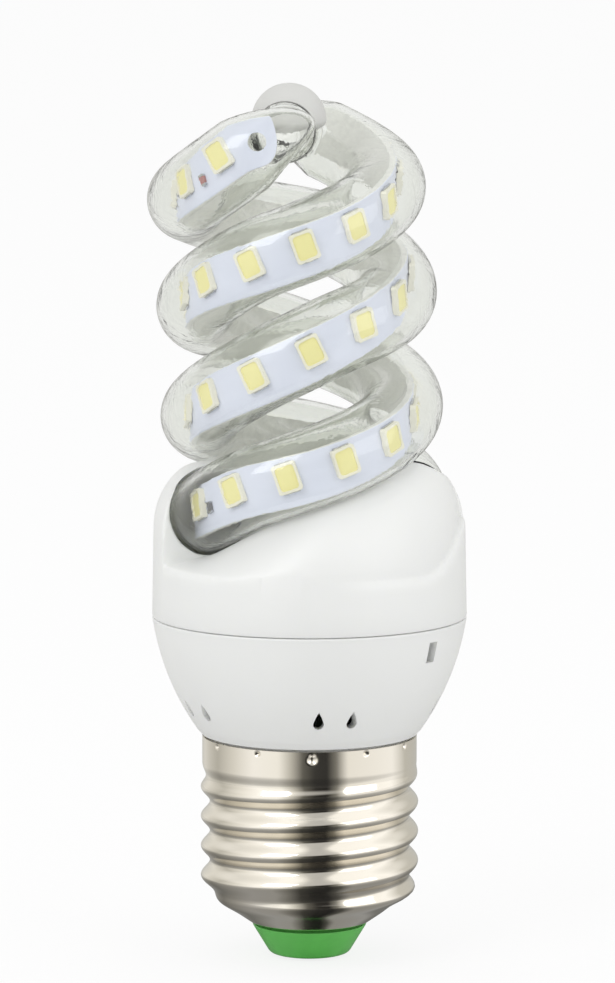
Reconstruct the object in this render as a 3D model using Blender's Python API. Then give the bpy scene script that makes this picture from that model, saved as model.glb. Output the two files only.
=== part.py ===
"""Spiral LED bulb on an E27 screw cap, built piece by piece.

The bulb stands on its centre contact: the origin is the middle of the contact's flat face, and +Z runs up
the axis of the screw cap. Sizes are written in millimetres and angles in degrees, and solid_from_rings turns
millimetres to metres.

Azimuths are measured from the front of the bulb, -Y, with the right side, +X, at +90 degrees. Both arms of
the glass coil climb as their azimuth grows: arm a ends at the front of the top, arm b at the back.
"""

import math

import bmesh
import bpy
from mathutils import Vector

MM = 0.001
FIT = 0.3                   # clearance between a piece and the one that it sits in or on
FACET_SLACK = 0.1           # added to FIT where the facets of two round faces meet
CUT_MARGIN = 3.0            # how far a cutting shape runs past the faces that it opens

# Screw cap, E27
CAP_THREAD_D = 26.2         # over the crests of the rolled thread
CAP_ROOT_D = 24.2
CAP_PITCH = 3.63
CAP_WALL = 0.5
CAP_SKIRT_D = 25.8
CAP_RIM_Z = 27.2
CAP_THREAD_TOP_Z = 22.6
CAP_THREAD_END_Z = 7.4
CAP_THREAD_PHASE = 0.38     # share of a turn that sets where the crests stand at the front
CAP_CURVE_TOP_Z = 6.4       # where the rolled-in foot of the sheet begins
CAP_FOOT_D = 14.8           # where the sheet is rolled over the insulator
CAP_FOOT_Z = 4.0

# Insulator and centre contact
INSULATOR_TIP_D = 9.4
INSULATOR_TIP_Z = 0.35
CONTACT_D = 6.4
CONTACT_HEAD = 0.6
CONTACT_STEM_D = 1.8
CONTACT_STEM_TOP_Z = 8.6
INSULATOR_FLANGE = 1.6      # thickness of the disc inside the cap

# Lower housing, the cup that carries the cap
HOUSING_D = 38.0
HOUSING_BASE_D = 26.4
HOUSING_BULGE = 0.95        # how far the side stands out from the straight cone
HOUSING_WALL = 1.4
SEAM_Z = 41.8
NECK_LENGTH = 5.0           # the collar that the cap is crimped to
VENT_PAIRS = 5
VENT_WIDTH = 1.2
VENT_LENGTH = 2.1
VENT_Z = 30.4
VENT_SPLIT = 15.0           # azimuth between the two slots of a pair
VENT_AZIMUTH = 11.5         # middle of the front pair
LATCH_WINDOW_AZIMUTH = 52.0
LATCH_WINDOW_WIDTH = 1.3
LATCH_WINDOW_HEIGHT = 2.4
LATCH_WINDOW_Z = 38.6

# Upper cover, the hood that the glass arms come out of
COVER_WALL = 1.2
COVER_LEAN = 0.2            # how much its radius shrinks from the seam to the shoulder
COVER_TOP_Z = 60.7
SHOULDER_RISE = 8.2
SHOULDER_RUN = 6.8
LIP_DEPTH = 2.4             # the rim that drops inside the lower housing
FLOOR_Z = 52.0              # floor of the hollow between the two hoods
CHANNEL_INNER_R = 3.6       # how near the axis the channels reach
CHANNEL_HEADROOM = 14.0     # how far above the arm a channel is open
CHANNEL_FLOOR_DROP = 1.3    # how far a channel's inner floor lies below its arm
SILL_Z = 48.6               # outer edge of the channel under each arm, next to its port
SILL_FLAT = 45.0            # azimuth for which the sill stays level
SILL_CLIMB = 50.0           # azimuth over which it climbs to the underside of the arm
CHANNEL_SPAN = 164.0        # azimuth from the port to where the channel has run out

# Glass coil
TUBE_D = 9.7
TUBE_WALL = 0.8
COIL_D = 24.6               # across the middle of the tube, at the ports
COIL_TOP_D = 23.6           # and at the top: the blown coil is a little narrower there
COIL_PITCH = 26.5           # climb of one arm in a full turn
COIL_TOP_Z = 100.9          # height that a straight helix would reach at the top of an arm
TOP_DROOP = 2.6             # how much lower the blown arm has flattened there
TOP_DROOP_SPAN = 70.0       # azimuth over which it flattens
ARM_END = 10.0              # azimuth below the top of the helix where an arm starts to close
ARM_END_LENGTH = 6.6        # length of its rounded end
ARM_END_BEND = 2.2          # how far that end bends inwards, to the bridge
COIL_LEAN = 0.06            # the blown coil leans to the left as it climbs
COIL_LEAN_FROM_Z = 46.0
ARM_TILT = {"a": 1.8, "b": 0.0}   # arm a's turns stand this much higher on the right than on the left
ARM_TURN = {"a": 0.0, "b": 180.0}
PORT_BELOW_TOP = 608.0      # azimuth from the top of an arm down to its port
ARM_INTO_COVER = 20.0       # azimuth that the tube runs on inside the cover
ARM_DIP = 0.7               # extra drop of the tube where it goes into its port
ARM_DIP_SPAN = 45.0
PORT_CUT_SPAN = 12.0        # azimuth in front of the port from which its bore is cut
BRIDGE_D = 8.0
BRIDGE_SINK = 1.4           # how far the bridge's middle lies below the knob's
KNOB_D = 8.6
BULB_HEIGHT = 106.0

# Light-emitting strips inside the arms
STRIP_WIDTH = 6.0
STRIP_THICKNESS = 0.8
STRIP_BACK = 0.1            # the strip's back, outwards from the middle of the tube
STRIP_TOP_GAP = 8.0         # azimuth from the top of the arm to the end of the strip
STRIP_FOOT_GAP = 6.0        # azimuth from the other end of the strip to the foot of the tube
STRIP_SHIFT_SPAN = 120.0    # azimuth over which the strip moves from the top to the foot of the bore
STRIP_HOLE_D = 1.8
STRIP_HOLE_INSET = 2.6
LED_COUNT = 21
LED_FIRST = {"a": 32.0, "b": 26.5}   # azimuth from the top of the arm to its first chip
LED_STEP = {"a": 29.1, "b": 28.85}
LED_LENGTH = 3.0
LED_WIDTH = 3.6
LED_HEIGHT = 0.7
LED_RISE = 0.75             # the chips' line, above the strip's centre line
RESISTOR_SIZE = (0.8, 1.6, 0.5)
RESISTOR_DROP = 1.5         # the resistor's middle, below the strip's centre line
RESISTOR_SINK = 0.1         # how far it is fused into the strip

# Driver
BOARD_THICKNESS = 1.2
BOARD_Z = 36.0
ELECTROLYTIC_D = 8.0
ELECTROLYTIC_LENGTH = 11.0
ELECTROLYTIC_X = -4.4
INDUCTOR_D = 8.0
INDUCTOR_LENGTH = 6.5
INDUCTOR_XY = (2.0, 5.5)
RECTIFIER_SIZE = (4.7, 4.0, 2.4)
RECTIFIER_XY = (5.6, -4.6)
CHIP_SIZE = (5.0, 4.0, 1.6)
CHIP_XY = (-3.6, -5.2)
FUSE_D = 2.6
FUSE_LENGTH = 6.4
FUSE_X = 4.2
FUSE_BELOW_BOARD = 3.0
WIRE_D = 1.1
WIRE_SIDES = 6

# Fineness of the round shapes
ROUND = 32
THREAD_ROUND = 24
THREAD_ROWS = 5             # rows of points in one pitch of the thread
TUBE_ROUND = 12
TURN_STEP = 12.0            # azimuth between two rings of the coil

# Values that follow from the ones above
TUBE_R = TUBE_D / 2
HOUSING_R = HOUSING_D / 2
CAP_SKIRT_R = CAP_SKIRT_D / 2
HOUSING_BASE_Z = CAP_RIM_Z + FIT
NECK_R = CAP_SKIRT_R - CAP_WALL - FIT
STRIP_FACE = STRIP_BACK + STRIP_THICKNESS
CHANNEL_R = TUBE_R + FIT + 0.05
COVER_R = HOUSING_R - COVER_LEAN
SHOULDER_Z = COVER_TOP_Z - SHOULDER_RISE


def material(name, colour, roughness, metallic=0.0, transmission=0.0):
    mat = bpy.data.materials.new(name)
    mat.use_nodes = True
    shader = mat.node_tree.nodes["Principled BSDF"]
    shader.inputs["Base Color"].default_value = (*colour, 1.0)
    shader.inputs["Roughness"].default_value = roughness
    shader.inputs["Metallic"].default_value = metallic
    shader.inputs["Transmission Weight"].default_value = transmission
    mat.diffuse_color = (*colour, 1.0)
    return mat


def solid_from_rings(name, rings, mat, closed=False):
    """Skin a row of rings of points, in millimetres, and cap its ends unless the row closes on itself."""
    mesh = bpy.data.meshes.new(name)
    shell = bmesh.new()
    rows = [[shell.verts.new(Vector(point) * MM) for point in ring] for ring in rings]
    count = len(rings[0])
    pairs = list(zip(rows, rows[1:] + rows[:1])) if closed else list(zip(rows, rows[1:]))
    for low, high in pairs:
        for i in range(count):
            j = (i + 1) % count
            shell.faces.new((low[i], low[j], high[j], high[i]))
    if not closed:
        shell.faces.new(rows[0])
        shell.faces.new(rows[-1])
    bmesh.ops.recalc_face_normals(shell, faces=shell.faces)
    shell.to_mesh(mesh)
    shell.free()
    mesh.shade_smooth()
    mesh.set_sharp_from_angle(angle=math.radians(40))
    piece = bpy.data.objects.new(name, mesh)
    bpy.context.collection.objects.link(piece)
    mesh.materials.append(mat)
    return piece


def cutter(piece):
    piece.hide_render = True
    piece.display_type = "WIRE"
    return piece


def combine(piece, other, operation="DIFFERENCE"):
    """Cut the other shape from the piece, or fuse it on."""
    step = piece.modifiers.new(other.name, "BOOLEAN")
    step.operation = operation
    step.solver = "EXACT"
    step.object = cutter(other)


def around(radius, z, azimuth):
    turn = math.radians(azimuth)
    return Vector((radius * math.sin(turn), -radius * math.cos(turn), z))


def circle(radius, z, count=ROUND):
    return [around(radius, z, 360 * i / count) for i in range(count)]


def turned(name, profile, mat, count=ROUND):
    """A solid turned from an open profile of (radius, z) that starts and ends on flat faces."""
    return solid_from_rings(name, [circle(radius, z, count) for radius, z in profile], mat)


def turned_ring(name, profile, mat, count=ROUND):
    """A solid turned from a closed profile of (radius, z) that stays off the axis."""
    rings = [[around(radius, z, 360 * i / count) for radius, z in profile] for i in range(count)]
    return solid_from_rings(name, rings, mat, closed=True)


def block(name, centre, size, mat, x_axis=(1, 0, 0), z_axis=(0, 0, 1)):
    along, up = Vector(x_axis).normalized(), Vector(z_axis).normalized()
    across = up.cross(along)
    half_x, half_y, half_z = (side / 2 for side in size)
    corners = ((-half_x, -half_y), (half_x, -half_y), (half_x, half_y), (-half_x, half_y))
    rings = [[Vector(centre) + along * x + across * y + up * z for x, y in corners]
             for z in (-half_z, half_z)]
    return solid_from_rings(name, rings, mat)


def rod(name, start, end, radius, mat, count=TUBE_ROUND):
    start, end = Vector(start), Vector(end)
    axis = (end - start).normalized()
    side = axis.orthogonal().normalized()
    other = axis.cross(side)
    turns = [2 * math.pi * i / count for i in range(count)]
    rings = [[at + radius * (math.cos(t) * side + math.sin(t) * other) for t in turns]
             for at in (start, end)]
    return solid_from_rings(name, rings, mat)


def wire(name, points, mat, steps=6):
    """A round wire on a smooth curve through its points."""
    points = [Vector(point) for point in points]
    padded = [2 * points[0] - points[1]] + points + [2 * points[-1] - points[-2]]
    route = []
    for p0, p1, p2, p3 in zip(padded, padded[1:], padded[2:], padded[3:]):
        for i in range(steps):
            t = i / steps
            route.append(0.5 * (2 * p1 + (p2 - p0) * t + (2 * p0 - 5 * p1 + 4 * p2 - p3) * t ** 2
                                + (3 * p1 - p0 - 3 * p2 + p3) * t ** 3))
    route.append(points[-1])
    rings = []
    side = (route[1] - route[0]).orthogonal()
    for i, at in enumerate(route):
        axis = (route[min(i + 1, len(route) - 1)] - route[max(i - 1, 0)]).normalized()
        side = (side - axis * side.dot(axis)).normalized()
        other = axis.cross(side)
        turns = [2 * math.pi * k / WIRE_SIDES for k in range(WIRE_SIDES)]
        rings.append([at + WIRE_D / 2 * (math.cos(t) * side + math.sin(t) * other) for t in turns])
    return solid_from_rings(name, rings, mat)


def smooth_step(value):
    value = min(max(value, 0.0), 1.0)
    return value * value * (3 - 2 * value)


# Where the arms of the coil run. "down" is the azimuth travelled down an arm from its top.

def coil_radius(down):
    """From the coil's axis to the middle of the tube."""
    return (COIL_TOP_D + (COIL_D - COIL_TOP_D) * down / PORT_BELOW_TOP) / 2


def coil_axis_at(z):
    return Vector((-COIL_LEAN * (z - COIL_LEAN_FROM_Z), 0, z))


def arm_centre(arm, down):
    """The middle of the tube."""
    azimuth = ARM_TURN[arm] - down
    z = COIL_TOP_Z - COIL_PITCH * down / 360
    z += ARM_TILT[arm] * math.sin(math.radians(azimuth))
    z -= TOP_DROOP * max(0, 1 - down / TOP_DROOP_SPAN) ** 2.5
    z -= ARM_DIP * smooth_step((down - PORT_BELOW_TOP + ARM_DIP_SPAN) / ARM_DIP_SPAN)
    return coil_axis_at(z) + around(coil_radius(down), 0, azimuth)


def arm_frame(arm, down):
    """The tube's middle, its direction down the arm, outwards, and upwards across the strip."""
    step = 0.5
    at = arm_centre(arm, down)
    along = (arm_centre(arm, down + step) - arm_centre(arm, down - step)).normalized()
    out = Vector((0, 0, 1)).cross(along).normalized()
    return at, along, out, along.cross(out)


def ring(at, out, up, radius):
    turns = [2 * math.pi * i / TUBE_ROUND for i in range(TUBE_ROUND)]
    return [at + radius * (math.cos(t) * out + math.sin(t) * up) for t in turns]


def downs(first, last):
    count = max(2, math.ceil((last - first) / TURN_STEP))
    return [first + (last - first) * i / count for i in range(count + 1)]


def tube_sections(arm, first, last, wall):
    """Rings round the tube between two stations, thinner than the glass by the given wall."""
    frames = (arm_frame(arm, down) for down in downs(first, last))
    return [ring(at, out, up, TUBE_R - wall) for at, _, out, up in frames]


def closed_end(arm, wall):
    """Rings of the arm's top end, which is rounded and bends in to the bridge."""
    at, along, out, up = arm_frame(arm, ARM_END)
    rings = []
    for share in (0.99, 0.92, 0.78, 0.55, 0.28):
        middle = at - along * share * (ARM_END_LENGTH - wall) - out * ARM_END_BEND * share ** 2
        rings.append(ring(middle, out, up, (TUBE_R - wall) * math.sqrt(1 - share ** 2)))
    return rings


# Screw cap

def thread_depth(z):
    """How much of the thread is rolled at a height: it fades in and out at its ends."""
    fade = CAP_PITCH
    return smooth_step((CAP_THREAD_TOP_Z - z) / fade) * smooth_step((z - CAP_CURVE_TOP_Z) / fade)


def cap_radius(z, azimuth):
    """Outer radius of the rolled sheet."""
    root, crest = CAP_ROOT_D / 2, CAP_THREAD_D / 2
    if z <= CAP_CURVE_TOP_Z:
        climb = (z - CAP_FOOT_Z) / (CAP_CURVE_TOP_Z - CAP_FOOT_Z)
        return CAP_FOOT_D / 2 + (root - CAP_FOOT_D / 2) * math.sin(math.pi / 2 * climb)
    wave = 0.5 + 0.5 * math.cos(2 * math.pi * (z / CAP_PITCH - azimuth / 360 - CAP_THREAD_PHASE))
    threaded = root + (crest - root) * wave
    depth = thread_depth(z)
    plain = CAP_SKIRT_R if z > (CAP_THREAD_TOP_Z + CAP_THREAD_END_Z) / 2 else root
    return plain + (threaded - plain) * depth


def screw_shell(mat):
    rows = math.ceil((CAP_THREAD_TOP_Z - CAP_THREAD_END_Z) / CAP_PITCH * THREAD_ROWS)
    heights = [CAP_FOOT_Z + (CAP_CURVE_TOP_Z - CAP_FOOT_Z) * i / 3 for i in range(3)]
    heights += [CAP_CURVE_TOP_Z + (CAP_THREAD_TOP_Z - CAP_CURVE_TOP_Z) * i / rows for i in range(rows + 1)]
    heights += [CAP_RIM_Z]
    rings = []
    for i in range(THREAD_ROUND):
        azimuth = 360 * i / THREAD_ROUND
        outside = [around(cap_radius(z, azimuth), z, azimuth) for z in heights]
        inside = [around(cap_radius(z, azimuth) - CAP_WALL, z, azimuth) for z in reversed(heights)]
        rings.append(outside + inside)
    return solid_from_rings("screw_shell", rings, mat, closed=True)


def cap_insulator(mat):
    neck = CAP_FOOT_D / 2 - CAP_WALL - FIT
    flange_z = CAP_FOOT_Z + 1.5
    flange = cap_radius(flange_z, 0) - CAP_WALL - 2 * FIT
    hole = CONTACT_STEM_D / 2 + FIT
    recess = CONTACT_D / 2 + FIT
    recess_z = CONTACT_HEAD + FIT
    tip = INSULATOR_TIP_D / 2
    profile = [(hole, recess_z), (recess, recess_z), (recess, INSULATOR_TIP_Z),
               (tip - 0.5, INSULATOR_TIP_Z), (tip, INSULATOR_TIP_Z + 0.5),
               (neck, CAP_FOOT_Z - FIT), (neck, flange_z), (flange, flange_z),
               (flange, flange_z + INSULATOR_FLANGE), (hole, flange_z + INSULATOR_FLANGE)]
    return turned_ring("cap_insulator", profile, mat)


def centre_contact(mat):
    head, stem = CONTACT_D / 2, CONTACT_STEM_D / 2
    profile = [(head - 0.2, 0), (head, 0.2), (head, CONTACT_HEAD), (stem, CONTACT_HEAD),
               (stem, CONTACT_STEM_TOP_Z)]
    return turned("centre_contact", profile, mat, 24)


# Housing

def bulged_side(low, high, bulge, steps=7):
    """Points of an arc from one (radius, z) to the other that stands out by the bulge."""
    chord = math.dist(low, high)
    radius = (chord ** 2 / 4 + bulge ** 2) / (2 * bulge)
    half = math.asin(chord / 2 / radius)
    along = ((high[0] - low[0]) / chord, (high[1] - low[1]) / chord)
    out = (along[1], -along[0])
    points = []
    for i in range(steps + 1):
        turn = -half + 2 * half * i / steps
        run = chord / 2 + radius * math.sin(turn)
        rise = radius * math.cos(turn) - (radius - bulge)
        points.append((low[0] + along[0] * run + out[0] * rise, low[1] + along[1] * run + out[1] * rise))
    return points


def housing_side(inset):
    """The side of the lower housing, set in by a wall."""
    low = (HOUSING_BASE_D / 2 - inset, HOUSING_BASE_Z + inset * 0.8)
    high = (HOUSING_R - inset, SEAM_Z - FIT / 2)
    return bulged_side(low, high, HOUSING_BULGE)


def housing_radius(z, inset=0.0):
    """Radius of the housing's side at a height."""
    side = housing_side(inset)
    for (r0, z0), (r1, z1) in zip(side, side[1:]):
        if z0 <= z <= z1:
            return r0 + (r1 - r0) * (z - z0) / (z1 - z0)
    return side[-1][0] if z > side[-1][1] else side[0][0]


def teardrop(width, length):
    """A slot's outline, round below and pointed above: (across, up) from its middle."""
    radius = width / 2
    low = -length / 2 + radius
    points = [(radius * math.cos(math.radians(t)), low + radius * math.sin(math.radians(t)))
              for t in (180, 225, 270, 315, 360)]
    return points + [(0, length / 2)]


def wall_slot(name, outline, azimuth, z, radius, depth, mat):
    """A straight slot through a round wall, with its outline seen from outside."""
    out = around(1, 0, azimuth)
    side = around(1, 0, azimuth + 90)
    rings = [[out * r + side * x + Vector((0, 0, z + y)) for x, y in outline]
             for r in (radius - depth, radius + depth)]
    return solid_from_rings(name, rings, mat)


def lower_housing(mat):
    neck_z = HOUSING_BASE_Z - NECK_LENGTH
    neck_in = NECK_R - HOUSING_WALL
    inside = list(reversed(housing_side(HOUSING_WALL)))
    profile = [(NECK_R, neck_z), (NECK_R, HOUSING_BASE_Z)] + housing_side(0.0)
    profile += inside + [(neck_in, HOUSING_BASE_Z), (neck_in, neck_z)]
    cup = turned_ring("lower_housing", profile, mat)
    for pair in range(VENT_PAIRS):
        for side in (-0.5, 0.5):
            azimuth = VENT_AZIMUTH + 360 * pair / VENT_PAIRS + side * VENT_SPLIT
            name = f"vent_cutter_{pair}_{'left' if side < 0 else 'right'}"
            slot = wall_slot(name, teardrop(VENT_WIDTH, VENT_LENGTH), azimuth, VENT_Z,
                             housing_radius(VENT_Z), 3 * HOUSING_WALL, mat)
            combine(cup, slot)
    half_w, half_h = LATCH_WINDOW_WIDTH / 2, LATCH_WINDOW_HEIGHT / 2
    window = [(-half_w, -half_h), (half_w, -half_h), (half_w, half_h), (-half_w, half_h)]
    for turn in (0, 180):
        slot = wall_slot(f"latch_cutter_{turn}", window, LATCH_WINDOW_AZIMUTH + turn, LATCH_WINDOW_Z,
                         housing_radius(LATCH_WINDOW_Z), 1.5 * HOUSING_WALL, mat)
        combine(cup, slot)
    return cup


# Upper cover

def hood_profile(inset, foot_z):
    """Side, shoulder and top of the cover, set in by a wall, from its foot up to its flat top."""
    run, rise = SHOULDER_RUN, SHOULDER_RISE
    centre = COVER_R - run
    points = [(HOUSING_R - inset, foot_z)]
    for lift in (0, 15, 30, 45, 60, 75, 90):
        turn = math.radians(lift)
        points.append((centre + (run - inset) * math.cos(turn), SHOULDER_Z + (rise - inset) * math.sin(turn)))
    return points


def sill_height(from_port, underside):
    """Height of the channel's outer edge: level at first, then up to the underside of the arm."""
    climb = smooth_step((from_port - SILL_FLAT) / SILL_CLIMB)
    return SILL_Z + (underside - SILL_Z) * climb


def channel_cutter(arm, grow, mat):
    """What the cover leaves open round an arm, from its port to where the arm has climbed clear."""
    start = -math.degrees(grow / (COIL_D / 2))
    count = math.ceil(CHANNEL_SPAN / TURN_STEP)
    rings = []
    for i in range(count + 1):
        travel = start + (CHANNEL_SPAN - start) * i / count
        down = PORT_BELOW_TOP - travel
        centre, along, _, _ = arm_frame(arm, down)
        steep = 1 / math.hypot(along.x, along.y)
        middle, radius = coil_radius(down), CHANNEL_R + grow
        floor = max(FLOOR_Z, centre.z - CHANNEL_R * steep - CHANNEL_FLOOR_DROP) - grow
        sill = sill_height(travel, centre.z - CHANNEL_R * steep)
        slope = (centre.z - CHANNEL_R * steep - sill) / (COVER_R - middle)
        sill -= grow * math.hypot(1, slope)
        over = centre.z + CHANNEL_HEADROOM
        section = [(CHANNEL_INNER_R, over), (CHANNEL_INNER_R, floor)]
        for turn in (math.radians(t) for t in (210, 230, 250, 270)):
            section.append((middle + radius * math.cos(turn), centre.z + radius * steep * math.sin(turn)))
        section += [(COVER_R, sill), (COVER_R + CUT_MARGIN, sill), (COVER_R + CUT_MARGIN, over)]
        lean = coil_axis_at(centre.z) - Vector((0, 0, centre.z))
        rings.append([around(r, z, ARM_TURN[arm] - down) + lean for r, z in section])
    return solid_from_rings(f"channel_cutter_{arm}_{grow:.1f}", rings, mat)


def hollow_cutter(grow, mat):
    """The hollow between the two hoods."""
    radius = COIL_D / 2 - CHANNEL_R - COVER_WALL + grow
    profile = [(radius, FLOOR_Z - grow), (radius, COVER_TOP_Z + CUT_MARGIN)]
    return turned(f"hollow_cutter_{grow:.1f}", profile, mat, 24)


def upper_cover(mat):
    foot = SEAM_Z + FIT / 2
    cover = turned("upper_cover", hood_profile(0.0, foot), mat)
    lip_z = SEAM_Z - LIP_DEPTH
    lip = housing_radius(lip_z, HOUSING_WALL) - FIT - FACET_SLACK
    lip_ring = turned_ring("lip_form", [(lip - COVER_WALL, lip_z), (lip, lip_z), (lip, foot + 1),
                                        (lip - COVER_WALL, foot + 1)], mat)
    inside = turned("cover_inside", [(lip - COVER_WALL, foot - 1), (lip - COVER_WALL, foot + COVER_WALL)]
                    + hood_profile(COVER_WALL, foot + 2 * COVER_WALL), mat)
    for arm in ("a", "b"):
        combine(cover, channel_cutter(arm, 0.0, mat))
        combine(inside, channel_cutter(arm, COVER_WALL, mat))
    combine(cover, hollow_cutter(0.0, mat))
    combine(inside, hollow_cutter(COVER_WALL, mat))
    for arm in ("a", "b"):
        bore = tube_sections(arm, PORT_BELOW_TOP - PORT_CUT_SPAN,
                             PORT_BELOW_TOP + ARM_INTO_COVER + CUT_MARGIN, -FIT)
        combine(cover, solid_from_rings(f"port_cutter_{arm}", bore, mat))
    combine(cover, inside)
    combine(cover, lip_ring, "UNION")
    return cover


# Glass

def glass_knob(mat):
    """The blob left where the tube was sealed, on the middle of the bridge."""
    radius = KNOB_D / 2
    middle = coil_axis_at(BULB_HEIGHT - radius)
    rings = []
    for lift in range(-80, 81, 20):
        turn = math.radians(lift)
        level = middle + Vector((0, 0, radius * math.sin(turn) / math.sin(math.radians(80))))
        rings.append([level + point for point in circle(radius * math.cos(turn), 0, 16)])
    return solid_from_rings("knob_form", rings, mat)


def arm_form(name, arm, last, wall, mat):
    return solid_from_rings(name, closed_end(arm, wall) + tube_sections(arm, ARM_END, last, wall), mat)


def bridge_form(name, wall, mat):
    """The tube between the tops of the arms, with round ends that melt into them."""
    radius = BRIDGE_D / 2 - wall
    middle = coil_axis_at(BULB_HEIGHT - KNOB_D / 2 - BRIDGE_SINK)
    across, up = Vector((1, 0, 0)), Vector((0, 0, 1))
    rings = []
    for arm, side in (("a", 1), ("b", -1)):
        tip = arm_centre(arm, 0.0)
        half = []
        for inset in (0.03, 0.18, 0.48, 1.0):
            at = tip.lerp(middle, (inset * radius + wall) / (tip - middle).length)
            half.append(ring(at, across, up, radius * math.sqrt(1 - (1 - inset) ** 2)))
        rings += half + [ring(middle, across, up, radius)] if side > 0 else half[::-1]
    return solid_from_rings(name, rings, mat)


def glass_spiral(mat):
    """Two arms, open at the foot, with the bridge and the knob fused on."""
    last = PORT_BELOW_TOP + ARM_INTO_COVER
    glass = arm_form("glass_spiral", "a", last, 0.0, mat)
    combine(glass, arm_form("arm_b_form", "b", last, 0.0, mat), "UNION")
    combine(glass, bridge_form("bridge_form", 0.0, mat), "UNION")
    combine(glass, glass_knob(mat), "UNION")
    for arm in ("a", "b"):
        combine(glass, arm_form(f"arm_{arm}_bore", arm, last + 1, TUBE_WALL, mat))
    combine(glass, bridge_form("bridge_bore", TUBE_WALL, mat))
    return glass


# Strips

def strip_end():
    return PORT_BELOW_TOP + ARM_INTO_COVER - STRIP_FOOT_GAP


def strip_drop(down):
    """How far the strip's centre line lies below the middle of the tube.

    Its upper edge is on the glass at the top of the arm, and its lower edge further down.
    """
    reach = TUBE_R - TUBE_WALL - FIT - FACET_SLACK
    play = math.sqrt(reach ** 2 - STRIP_FACE ** 2) - STRIP_WIDTH / 2
    return play * (2 * smooth_step((down - STRIP_TOP_GAP) / STRIP_SHIFT_SPAN) - 1)


def led_strip(arm, mat):
    """An aluminium strip that follows its arm, with a rounded top end, a hole and one chip resistor."""
    round_off = math.degrees(STRIP_WIDTH / COIL_TOP_D)
    first = STRIP_TOP_GAP
    ends = [(first, 0.25), (first + round_off * 0.15, 0.6), (first + round_off * 0.5, 0.9)]
    stations = ends + [(down, 1.0) for down in downs(first + round_off, strip_end())]
    rings = []
    for down, share in stations:
        at, _, out, up = arm_frame(arm, down)
        half = STRIP_WIDTH / 2 * share
        at = at - up * strip_drop(down)
        rings.append([at + out * STRIP_BACK - up * half, at + out * STRIP_FACE - up * half,
                      at + out * STRIP_FACE + up * half, at + out * STRIP_BACK + up * half])
    strip = solid_from_rings(f"led_strip_{arm}", rings, mat)
    hole_at = first + math.degrees(2 * STRIP_HOLE_INSET / COIL_TOP_D)
    at, _, out, up = arm_frame(arm, hole_at)
    at = at - up * strip_drop(hole_at)
    combine(strip, rod(f"strip_hole_{arm}", at - out, at + out * 3, STRIP_HOLE_D / 2, mat, 10))
    resistor_at = LED_FIRST[arm] + LED_STEP[arm] * (0.5 if arm == "a" else LED_COUNT - 1.5)
    at, along, out, up = arm_frame(arm, resistor_at)
    lift = STRIP_FACE + RESISTOR_SIZE[2] / 2 - RESISTOR_SINK
    seat = at + out * lift - up * (strip_drop(resistor_at) + RESISTOR_DROP)
    combine(strip, block(f"resistor_form_{arm}", seat, RESISTOR_SIZE, mat, along, out), "UNION")
    return strip


def led_chips(arm, mat):
    seat = STRIP_FACE + FIT
    for i in range(LED_COUNT):
        down = LED_FIRST[arm] + LED_STEP[arm] * i
        at, along, out, up = arm_frame(arm, down)
        centre = at + up * (LED_RISE - strip_drop(down)) + out * (seat + LED_HEIGHT / 2)
        block(f"led_{arm}_{i + 1:02d}", centre, (LED_LENGTH, LED_WIDTH, LED_HEIGHT), mat, along, out)


# Driver

def driver(mats):
    board_r = housing_radius(BOARD_Z, HOUSING_WALL) - FIT - FACET_SLACK
    top = BOARD_Z + BOARD_THICKNESS
    turned("driver_board", [(board_r, BOARD_Z), (board_r, top)], mats["board"])
    under, seat = BOARD_Z - FIT, top + FIT
    rod("electrolytic_capacitor", (ELECTROLYTIC_X, 0, under),
        (ELECTROLYTIC_X, 0, under - ELECTROLYTIC_LENGTH), ELECTROLYTIC_D / 2, mats["sleeve"], 20)
    rod("inductor", (*INDUCTOR_XY, seat), (*INDUCTOR_XY, seat + INDUCTOR_LENGTH), INDUCTOR_D / 2,
        mats["ferrite"], 20)
    block("bridge_rectifier", (*RECTIFIER_XY, seat + RECTIFIER_SIZE[2] / 2), RECTIFIER_SIZE, mats["moulding"])
    block("driver_chip", (*CHIP_XY, seat + CHIP_SIZE[2] / 2), CHIP_SIZE, mats["moulding"])
    fuse_low = under - FUSE_LENGTH - FUSE_BELOW_BOARD
    rod("fuse_resistor", (FUSE_X, 0, fuse_low), (FUSE_X, 0, fuse_low + FUSE_LENGTH), FUSE_D / 2,
        mats["sleeve"])
    wire("live_wire", [(0, 0, CONTACT_STEM_TOP_Z + FIT), (0.3, 0, 13), (3.4, 0, 19),
                       (FUSE_X, 0, fuse_low - FIT)], mats["live"])
    wall_x = NECK_R - HOUSING_WALL - WIRE_D / 2 - FIT
    wire("neutral_wire", [(wall_x, -1.5, HOUSING_BASE_Z - NECK_LENGTH - 1.5), (wall_x - 0.2, -1.5, 26),
                          (wall_x - 1.5, -1.0, 31), (wall_x - 2.2, -1.0, under)], mats["neutral"])
    for arm in ("a", "b"):
        at, along, out, up = arm_frame(arm, strip_end())
        start = at + out * (STRIP_BACK + STRIP_THICKNESS / 2) - up * strip_drop(strip_end()) + along * FIT
        azimuth = ARM_TURN[arm] - strip_end()
        wire(f"strip_lead_{arm}", [start, start + along * 3.2 - Vector((0, 0, 0.4)),
                                   around(11.5, 46, azimuth - 24), around(11.0, seat, azimuth - 28)],
             mats["lead"])


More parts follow.
